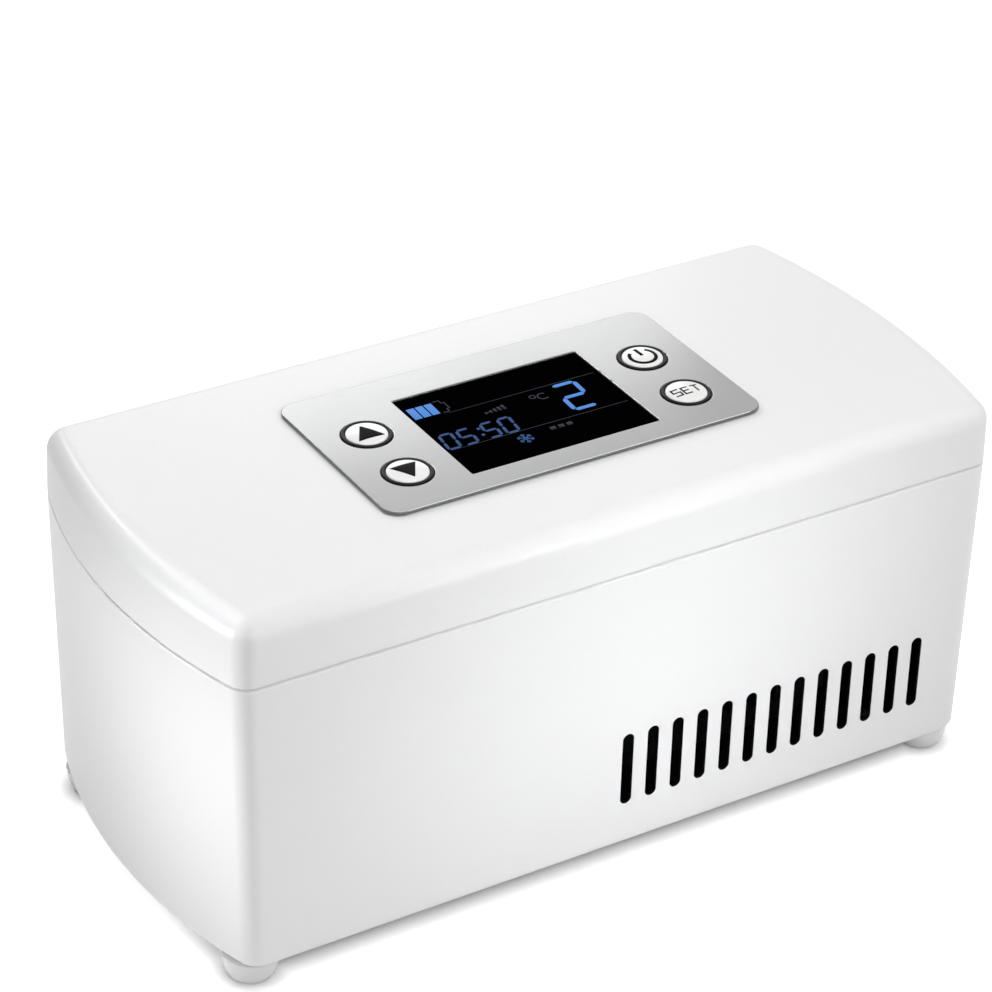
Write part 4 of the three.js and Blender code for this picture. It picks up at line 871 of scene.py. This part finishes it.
def make_liner_pan():
    plug = -PLUG_CLEARANCE
    foot = pan_bottom - PLUG_DEPTH
    rings = round_over(chamber_level, plug - PLUG_TAPER, foot, PLUG_ROUND, inward=-1, upward=-1)[::-1]
    rings += [
        chamber_level(plug, pan_bottom),
        lid_level(WALL + FIT, pan_bottom),
        lid_level(WALL + FIT, pan_top),
        chamber_level(plug - LID_LINER, pan_top),
        chamber_level(plug - LID_LINER - PLUG_TAPER, foot + LID_LINER),
    ]
    pan = Shape().loft(rings).build("liner_pan")
    recesses = screw_seats(Shape(), "lid", pan_bottom)
    notch = rounded_box(LEAD_NOTCH / 2, LEAD_NOTCH, DISPLAY_CORNER)
    recesses.prism(shifted(notch, 0, half_depth - WALL), pan_bottom - OVERCUT, pan_top + OVERCUT)
    cut(pan, recesses)
    soften(pan, SOFT_EDGE)
    dress(pan, inner_white, "lid", "white_inner", "lid_liner")


# Panel and display
def make_panel():
    half = half_size_of("control_panel")
    outline = shifted(rounded_box(half.x, half.y, PANEL_CORNER), 0, centre_of("control_panel").y)
    plate = Shape().prism(outline, panel_low, panel_top).build("panel_plate")
    cut(plate, display_holes(-WINDOW_FLANGE, panel_low, panel_top))
    soften(plate, PANEL_EDGE, segments=3)
    dress(plate, panel_silver, "lid", "silver_panel", "control_panel")
    # The plate's sides get the dark painted shade.
    paint_shade_on_faces(plate, panel_side_shade, lambda face: abs(face.normal.z) < FACING_SHARE)


def make_window():
    """Dark lens with a flange under the panel."""
    low = box_mm("display_window")[0].z
    flange = window_outline(0)
    face = window_outline(-WINDOW_FLANGE - FIT / 2)
    rings = [level(flange, low), level(flange, lid_top), level(face, lid_top), level(face, window_top)]
    window = Shape().loft(rings).build("window_lens")
    soften(window, WINDOW_EDGE)
    dress(window, lens_black, "lid", "dark_window", "display_window")


# Readout
MITRE_LIMIT = 0.5
SEGMENTS = {"0": "abcdef", "2": "abged", "5": "afgcd"}
SEGMENT_GAP = 0.16
SEGMENT_TIP = 0.06


def on_window(x, y):
    """Height of the marks, which is the same all over the flat window."""
    return window_top + PRINT_THICKNESS / 2


def stroke(shape, points, width, height, columns=1):
    """Line of even width along the given points."""
    left = []
    right = []
    for i, (x, y) in enumerate(points):
        ahead = Vector(points[min(i + 1, len(points) - 1)]) - Vector((x, y))
        behind = Vector((x, y)) - Vector(points[max(i - 1, 0)])
        first = (ahead if i == 0 else behind).normalized()
        second = (behind if i == len(points) - 1 else ahead).normalized()
        along = (first + second).normalized()
        side = Vector((-along.y, along.x)) * (width / 2 / max(along.dot(first), MITRE_LIMIT))
        left.append((x + side.x, y + side.y))
        right.append((x - side.x, y - side.y))
    shape.patch(left, right, columns, height)


def seven_segments(shape, digit, x, y, width, tall, thick, slant):
    """One digit of slanted bars with pointed ends. x and y are its lower left corner."""
    gap = thick * SEGMENT_GAP
    tip = thick * SEGMENT_TIP
    half = tall / 2
    ends = {
        "a": ((0, tall), (width, tall)),
        "b": ((width, tall), (width, half)),
        "c": ((width, half), (width, 0)),
        "d": ((0, 0), (width, 0)),
        "e": ((0, half), (0, 0)),
        "f": ((0, tall), (0, half)),
        "g": ((0, half), (width, half)),
    }
    for key in SEGMENTS[digit]:
        start, end = (Vector(point) for point in ends[key])
        along = (end - start).normalized()
        across = Vector((-along.y, along.x)) * (thick / 2)
        length = (end - start).length
        marks = [gap, gap + thick / 2, length - gap - thick / 2, length - gap]
        shares = [tip, 1, 1, tip]
        left = []
        right = []
        for mark, share in zip(marks, shares):
            middle = start + along * mark
            for side, edge in ((1, left), (-1, right)):
                point = middle + across * (side * share)
                edge.append((x + point.x + slant * point.y, y + point.y))
        shape.patch(left, right, 1, on_window)


def bar(shape, left, low, right, high, slant=0):
    """Plain bar that leans to the right by the slant."""
    lean = slant * (high - low)
    left_edge = [(left + lean, high), (left, low)]
    right_edge = [(right + lean, high), (right, low)]
    shape.patch(left_edge, right_edge, 1, on_window)


def bar_row(shape, count, left, pitch, width, low, high, rise=0, slant=0):
    """Row of even bars, each taller than the one before by the rise."""
    for i in range(count):
        start = left + pitch * i
        bar(shape, start, low, start + width, high + rise * i, slant)


def glyph(shape, name, material, body, slot):
    """Makes a sheet of marks into a thin film."""
    obj = shape.build(name)
    solid = obj.modifiers.new("film", "SOLIDIFY")
    solid.thickness = PRINT_THICKNESS * MM
    solid.offset = 0
    dress(obj, material, body, slot)


def make_readout():
    """What the display shows, drawn in millimetres about its own middle."""
    fields = {
        "charge": (glow_blue, charge_bars),
        "degrees": (glow_blue, degrees_digit),
        "clock": (glow_dim, clock_digits),
        "flake": (glow_dim, flake_icon),
        "marks": (glow_faint, faint_marks),
    }
    middle = centre_of("display_window").y
    for name, (material, draw) in fields.items():
        shape = Shape()
        draw(shape)
        glyph(shape.move_y(middle), f"readout_{name}", material, "lid", "dark_window")


def charge_bars(shape):
    bar_row(shape, 3, left=-22.9, pitch=2.2, width=1.85, low=8.2, high=12.9, slant=0.04)


def degrees_digit(shape):
    seven_segments(shape, "2", x=10.0, y=-4.6, width=5.6, tall=10.9, thick=1.1, slant=0.06)


def clock_digits(shape):
    slant = 0.12
    first = -22.8
    low = -6.3
    pitch = 4.35
    colon_gap = 1.6
    for i, digit in enumerate("0550"):
        shift = pitch * i + (colon_gap if i > 1 else 0)
        seven_segments(shape, digit, first + shift, low, width=2.9, tall=6.1, thick=0.72, slant=slant)
    colon = -13.8
    dot_width = 0.7
    dot_height = 0.8
    for lift in (1.6, 4.3):
        left = colon + slant * lift
        bar(shape, left, low + lift, left + dot_width, low + lift + dot_height, slant)


def flake_icon(shape):
    """Three crossing arms with a pair of barbs at each end."""
    middle = Vector((-6.0, -10.0))
    arm = 1.9
    arm_width = 0.42
    barb_width = 0.3
    barb_turn = 0.7
    barb_place = 0.55
    barb_share = 0.4
    for i in range(3):
        angle = math.pi / 3 * i + math.pi / 6
        reach = Vector((math.cos(angle), math.sin(angle))) * arm
        stroke(shape, [middle - reach, middle + reach], arm_width, on_window)
        for side in (1, -1):
            fork = middle + reach * (barb_place * side)
            for turn in (barb_turn, -barb_turn):
                barb = Matrix.Rotation(turn, 2) @ (reach * (barb_share * side))
                stroke(shape, [fork, fork + barb], barb_width, on_window)


def faint_marks(shape):
    """Hair lines, the battery's outline, a signal scale, small words and a sign for degrees."""
    hair = 0.15
    hair_end = 22.3
    for left, low in ((-15.0, 7.4), (-20.5, -6.8)):
        bar(shape, left, low, hair_end, low + hair)
    battery = [(-16.0, 13.1), (-14.4, 13.1), (-14.4, 11.9), (-13.7, 11.9)]
    battery += [(-13.7, 9.3), (-14.4, 9.3), (-14.4, 8.1), (-16.0, 8.1)]
    stroke(shape, battery, 0.28, on_window)
    bar_row(shape, 5, left=-8.2, pitch=1.15, width=0.7, low=3.0, high=3.7, rise=0.3)
    bar_row(shape, 3, left=0.8, pitch=2.1, width=1.4, low=-9.6, high=-8.4, slant=0.12)
    degree = arc(cx=4.6, cy=4.6, radius=0.7, start=0, end=2 * math.pi, steps=SMALL_STEPS)
    stroke(shape, degree, 0.3, on_window)
    letter_c = arc(cx=6.9, cy=3.9, radius=1.2, start=math.pi / 4, end=1.75 * math.pi, steps=SMALL_STEPS)
    stroke(shape, letter_c, 0.35, on_window)


# Buttons
ARROW_HALF_WIDTH = 3.1
ARROW_LENGTH = 5.4
ARROW_FOOT = 2.4
ARROW_TIP = 0.12
ARROW_ROWS = 8
ARROW_COLUMNS = 6

cap_rim = CAP_RADIUS - CAP_EDGE
cap_top = panel_top + CAP_PROUD


def crown_of(place, lift=0):
    """Height of a cap's domed top, raised by the lift, as a function of x and y."""
    def height(x, y):
        reach = math.hypot(x - place.x, y - place.y) / cap_rim
        return cap_top + CAP_CROWN * (1 - reach ** 2) + lift
    return height


def make_cap(name):
    place = centre_of(f"button_{name}")
    low = box_mm(f"button_{name}")[0].z
    crown = crown_of(place)
    flange_top = ceiling - FIT
    profile = [
        (CAP_STEM, low),
        (CAP_STEM, flange_top - CAP_FLANGE_HEIGHT),
        (CAP_FLANGE, flange_top - CAP_FLANGE_HEIGHT),
        (CAP_FLANGE, flange_top),
        (CAP_RADIUS, flange_top),
    ]
    profile += arc(cap_rim, cap_top - CAP_EDGE, CAP_EDGE, 0, math.pi / 2, ROUND_STEPS)
    for i in range(ROUND_STEPS - 1, 0, -1):
        radius = cap_rim * i / ROUND_STEPS
        profile.append((radius, crown(place.x + radius, place.y)))
    cap = Shape().lathe(profile, place.x, place.y).build(f"cap_{name}")
    soften(cap, CAP_FOOT_EDGE)
    dress(cap, cap_white, f"key_{name}", "white_cap", f"button_{name}")


def make_ring(name):
    place = centre_of(f"button_{name}")
    low = box_mm(f"button_bezel_{name}")[0].z
    shoulder = panel_top + BEZEL_PROUD - BEZEL_ROUND
    quarter = math.pi / 2
    profile = [(BEZEL_OUTER, low)]
    profile += arc(BEZEL_OUTER - BEZEL_ROUND, shoulder, BEZEL_ROUND, 0, quarter, ROUND_STEPS)
    profile += arc(BEZEL_INNER + BEZEL_ROUND, shoulder, BEZEL_ROUND, quarter, 2 * quarter, ROUND_STEPS)
    profile.append((BEZEL_INNER, low))
    ring = Shape().lathe(profile, place.x, place.y, sleeve=True).build(f"ring_{name}")
    flatten(ring)
    dress(ring, ring_black, "lid", "bezel_black", f"button_bezel_{name}")


def make_symbol(name):
    place = centre_of(f"button_{name}")
    mark = Shape()
    MARKS[name](mark, place.x, place.y, crown_of(place, PRINT_THICKNESS / 2))
    glyph(mark, f"symbol_{name}", print_black, f"key_{name}", "bezel_black")


def arrow(shape, x, y, height, side=1):
    """Triangle that points to the back for side 1 and to the front for side -1."""
    left = []
    right = []
    for i in range(ARROW_ROWS + 1):
        share = i / ARROW_ROWS
        half = ARROW_HALF_WIDTH * (1 - share) + ARROW_TIP
        row = y + side * (ARROW_LENGTH * share - ARROW_FOOT)
        left.append((x - half * side, row))
        right.append((x + half * side, row))
    shape.patch(left, right, ARROW_COLUMNS, height)


def down_arrow(shape, x, y, height):
    arrow(shape, x, y, height, side=-1)


def power_mark(shape, x, y, height):
    """Open ring with an upright bar in its gap."""
    half_gap = math.radians(40)
    radius = 3.0
    width = 0.85
    drop = 0.1
    bar_points = 9
    bar_step = 0.42
    ring = arc(x, y - drop, radius, math.pi / 2 + half_gap, 2.5 * math.pi - half_gap, DISC_STEPS)
    stroke(shape, ring, width, height, columns=2)
    upright = [(x, y + drop + bar_step * i) for i in range(bar_points)]
    stroke(shape, upright, width, height, columns=2)


def set_mark(shape, x, y, height):
    """The word SET in plain strokes."""
    wide = 1.75
    tall = 2.6
    pitch = 2.5
    thick = 0.42
    letters = [
        [[(wide, tall), (0, tall), (0, tall / 2), (wide, tall / 2), (wide, 0), (0, 0)]],
        [[(wide, tall), (0, tall), (0, 0), (wide, 0)], [(0, tall / 2), (wide * 0.85, tall / 2)]],
        [[(0, tall), (wide, tall)], [(wide / 2, tall), (wide / 2, 0)]],
    ]
    for i, letter in enumerate(letters):
        left = x + (i - len(letters) / 2) * pitch + (pitch - wide) / 2
        for points in letter:
            stroke(shape, [(left + u, y - tall / 2 + v) for u, v in points], thick, height)


MARKS = {"up": arrow, "down": down_arrow, "power": power_mark, "set": set_mark}


# Power socket
def make_socket():
    """Body behind the wall, nose in its opening and contact pin of the power inlet."""
    low, high = box_mm("dc_socket")
    place = centre_of("dc_socket")
    half = half_size_of("dc_socket")
    shoulder = half_depth - WALL - FIT
    well = high.y - SOCKET_WELL
    outline = shifted(rounded_box(half.x, half.z, DISPLAY_CORNER), place.x, place.z)
    body = Shape().along_y(outline, shoulder, low.y).build("socket_body")
    bore = circle(SOCKET_BORE_RADIUS, place.x, place.z)
    cut(body, Shape().along_y(bore, shoulder + OVERCUT, well))
    soften(body, SOCKET_EDGE)
    dress(body, matt_black, "base", "black_plastic", "dc_socket")
    profile = [
        (SOCKET_BORE_RADIUS, shoulder),
        (SOCKET_BORE_RADIUS, high.y),
        (SOCKET_NOSE_RADIUS, high.y),
        (SOCKET_NOSE_RADIUS, shoulder),
    ]
    nose = Shape().lathe_y(profile, place.x, place.z, sleeve=True).build("socket_nose")
    soften(nose, SOCKET_NOSE_EDGE)
    dress(nose, matt_black, "base", "black_plastic", "dc_socket")
    profile = [
        (SOCKET_PIN_RADIUS / 3, high.y - SOCKET_PIN_RADIUS),
        (SOCKET_PIN_RADIUS, high.y - 1.5 * SOCKET_PIN_RADIUS),
        (SOCKET_PIN_RADIUS, well),
    ]
    pin = Shape().lathe_y(profile, place.x, place.z, steps=SMALL_STEPS).build("socket_pin")
    soften(pin, SOCKET_PIN_EDGE)
    dress(pin, steel, "base", "steel", "dc_socket")


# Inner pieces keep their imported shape
INNER_FINISH = {
    foam_cream: ("base_insulation", "lid_insulation"),
    steel: ("catch_magnet", "catch_strike", "hinge_pin_left", "hinge_pin_right"),
    matt_black: ("temperature_sensor", "fan_frame", "fan_rotor", "battery_holder", "display_module"),
    tub_metal: ("cold_block",),
    sink_metal: ("heat_sink",),
    ceramic: ("peltier_module",),
    cell_blue: ("battery_cell_1", "battery_cell_2"),
    board_green: ("main_board", "control_board"),
    lead_red: ("wiring_harness",),
    lead_grey: ("display_lead_base", "display_lead_lid"),
}


def dress_inner():
    for material, names in INNER_FINISH.items():
        for name in names:
            wear(name, material)
    for name in KEYS:
        wear(f"switch_{name}", matt_black)
        wear(f"switch_plunger_{name}", lead_red)


def wear(name, material):
    materials = frame["nodes"][name].data.materials
    materials.clear()
    materials.append(material)


# Studio, with places in metres and the floor's shadow in millimetres
CAMERA_FROM_SEAM = (-0.3609, -0.5743, 0.4057)
CAMERA_FORWARD = (0.45016, 0.72572, -0.52028)
CAMERA_ROLL = 1.581
CAMERA_SENSOR = 36
CAMERA_FOCUS_PIXELS = 3568.9
IMAGE_PIXELS = 992
ROOM_LIGHT = 0.2
FLOOR_SIZE = 6
# The floor's glow is held low near the case and round its feet: painted shadow, added to the lamps' own
# shadow.
SHADOW_FROM_SIDE = 8.4
SHADOW_FROM_END = 12.5
SHADOW_FADE = 7
FOOT_SHADOW = 6
FLOOR_LIFT_IN_PAINTED_SHADOW = 0.02
FLOOR_LIFT_FAR = 0.8


def aim(obj, place, forward, turn):
    """Places a camera or lamp so that it looks along a direction, turned about it by degrees."""
    own_turn = Quaternion((0, 0, 1), math.radians(turn))
    obj.location = place
    obj.rotation_mode = "QUATERNION"
    obj.rotation_quaternion = Vector(forward).to_track_quat("-Z", "Y") @ own_turn
    bpy.context.collection.objects.link(obj)


def make_camera():
    data = bpy.data.cameras.new("camera")
    data.sensor_width = CAMERA_SENSOR
    data.lens = CAMERA_SENSOR * CAMERA_FOCUS_PIXELS / IMAGE_PIXELS
    camera = bpy.data.objects.new("camera", data)
    place = Vector(CAMERA_FROM_SEAM) + Vector((0, 0, seam * MM))
    aim(camera, place, CAMERA_FORWARD, CAMERA_ROLL)
    bpy.context.scene.camera = camera


def vector_math(tree, operation, first, second=(0, 0, 0)):
    node = new_node(tree, "VectorMath")
    node.operation = operation
    tree.links.new(first, node.inputs[0])
    node.inputs[1].default_value = second
    return node.outputs["Value" if operation == "LENGTH" else "Vector"]


def plain_math(tree, operation, first, second):
    node = new_node(tree, "Math")
    node.operation = operation
    tree.links.new(first, node.inputs[0])
    tree.links.new(second, node.inputs[1])
    return node.outputs["Value"]


def camera_rays(tree):
    """1 for what the camera sees directly, in gloss or through clear pieces, and 0 for the rest."""
    path = new_node(tree, "LightPath")
    seen = path.outputs["Is Camera Ray"]
    for other in ("Is Glossy Ray", "Is Transmission Ray"):
        seen = plain_math(tree, "MAXIMUM", seen, path.outputs[other])
    return seen


def make_world():
    world = bpy.data.worlds.new("studio")
    world.use_nodes = True
    bpy.context.scene.world = world
    tree = world.node_tree
    room = tree.nodes["Background"]
    set_inputs(room, Color=(1, 1, 1, 1), Strength=ROOM_LIGHT)
    white = new_node(tree, "Background", Color=(1, 1, 1, 1), Strength=1)
    mix = new_node(tree, "MixShader")
    tree.links.new(camera_rays(tree), mix.inputs["Fac"])
    tree.links.new(room.outputs["Background"], mix.inputs[1])
    tree.links.new(white.outputs["Background"], mix.inputs[2])
    tree.links.new(mix.outputs["Shader"], tree.nodes["World Output"].inputs["Surface"])


def make_floor():
    """White floor with a short painted shadow under the case and round its feet, where its glow is held
    low.
    """
    half = FLOOR_SIZE / 2
    mesh = bpy.data.meshes.new("floor")
    corners = [(-half, -half, 0), (half, -half, 0), (half, half, 0), (-half, half, 0)]
    mesh.from_pydata(corners, [], [(0, 1, 2, 3)])
    floor = bpy.data.objects.new("floor", mesh)
    floor.location.y = case_y * MM
    bpy.context.collection.objects.link(floor)
    material, tree, shader, coordinates = new_material("floor_white")
    paper = noise(tree, coordinates, scale=90, detail=4)
    pale = ramp(tree, paper, [(0.3, (0.78, 0.78, 0.78)), (0.7, (0.8, 0.8, 0.8))])
    tree.links.new(pale, shader.inputs["Base Color"])
    set_inputs(shader, Roughness=0.9, Specular_IOR_Level=0.1, Emission_Color=(1, 1, 1, 1))
    quadrant = vector_math(tree, "ABSOLUTE", coordinates)
    core = ((half_length - SHADOW_FROM_END) * MM, (half_depth - SHADOW_FROM_SIDE) * MM, 0)
    beyond = vector_math(tree, "MAXIMUM", vector_math(tree, "SUBTRACT", quadrant, core))
    # Painted shadow: the glow fades out near the case and round each foot.
    painted_shadow_of_case = spread(
        tree, vector_math(tree, "LENGTH", beyond), FLOOR_LIFT_IN_PAINTED_SHADOW, FLOOR_LIFT_FAR, 0, SHADOW_FADE * MM,
    )
    foot = centre_of("foot_rear_right")
    from_foot = vector_math(tree, "SUBTRACT", quadrant, (foot.x * MM, foot.y * MM, 0))
    painted_shadow_of_feet = spread(
        tree, vector_math(tree, "LENGTH", from_foot), FLOOR_LIFT_IN_PAINTED_SHADOW, FLOOR_LIFT_FAR,
        FOOT_FLAT * MM, (FOOT_FLAT + FOOT_SHADOW) * MM,
    )
    glow = plain_math(tree, "MINIMUM", painted_shadow_of_case, painted_shadow_of_feet)
    lift = plain_math(tree, "MULTIPLY", camera_rays(tree), glow)
    tree.links.new(lift, shader.inputs["Emission Strength"])
    mesh.materials.append(material)


def make_lamp(name, place, target, size, watts, beam=180, turn=0):
    data = bpy.data.lights.new(name, "AREA")
    data.shape = "RECTANGLE"
    data.size, data.size_y = size
    data.energy = watts
    data.spread = math.radians(beam)
    lamp = bpy.data.objects.new(name, data)
    aim(lamp, place, Vector(target) - Vector(place), turn)
    lamp.visible_camera = False


def make_lamps():
    """Softboxes round the case, a strip for the lid's edge, and beams on the panel, front and near end."""
    lid_middle = (0, 0, 0.09)
    make_lamp("softbox_top", (0, 0, 0.9), lid_middle, (0.5, 0.5), watts=2.0)
    make_lamp("softbox_front", (0.27, -0.33, 0.5), (0, -0.05, 0.09), (0.6, 0.5), watts=1.25)
    make_lamp("softbox_left", (-0.15, -0.5, 0.35), (-0.05, -0.05, 0.08), (0.25, 0.25), watts=0.65)
    make_lamp("strip_edge", (-0.23, 0.46, 0.5), lid_middle, (0.4, 0.06), watts=1.0, turn=45)
    make_lamp("beam_panel", (0.05, 0.185, 0.185), (0.05, 0, 0.09), (0.24, 0.06), watts=0.03, beam=100)
    make_lamp("beam_front", (0.2, -0.5, 0.15), (0.005, -0.05, 0.055), (0.1, 0.1), watts=0.013, beam=15)
    make_lamp("beam_end", (-0.5, 0.17, 0.12), (-0.1, -0.07, 0.057), (0.07, 0.07), watts=0.0325, beam=20)


make_camera()
make_lid()
make_lid_knuckle()
make_housing()
make_housing_knuckles()
make_cover()
make_feet()
make_screws()
make_tub()
make_deck()
make_seal()
make_liner_pan()
make_panel()
make_window()
make_readout()
for key in KEYS:
    make_cap(key)
    make_ring(key)
    make_symbol(key)
make_socket()
dress_inner()
make_world()
make_floor()
make_lamps()
bpy.context.scene.view_settings.view_transform = "Standard"
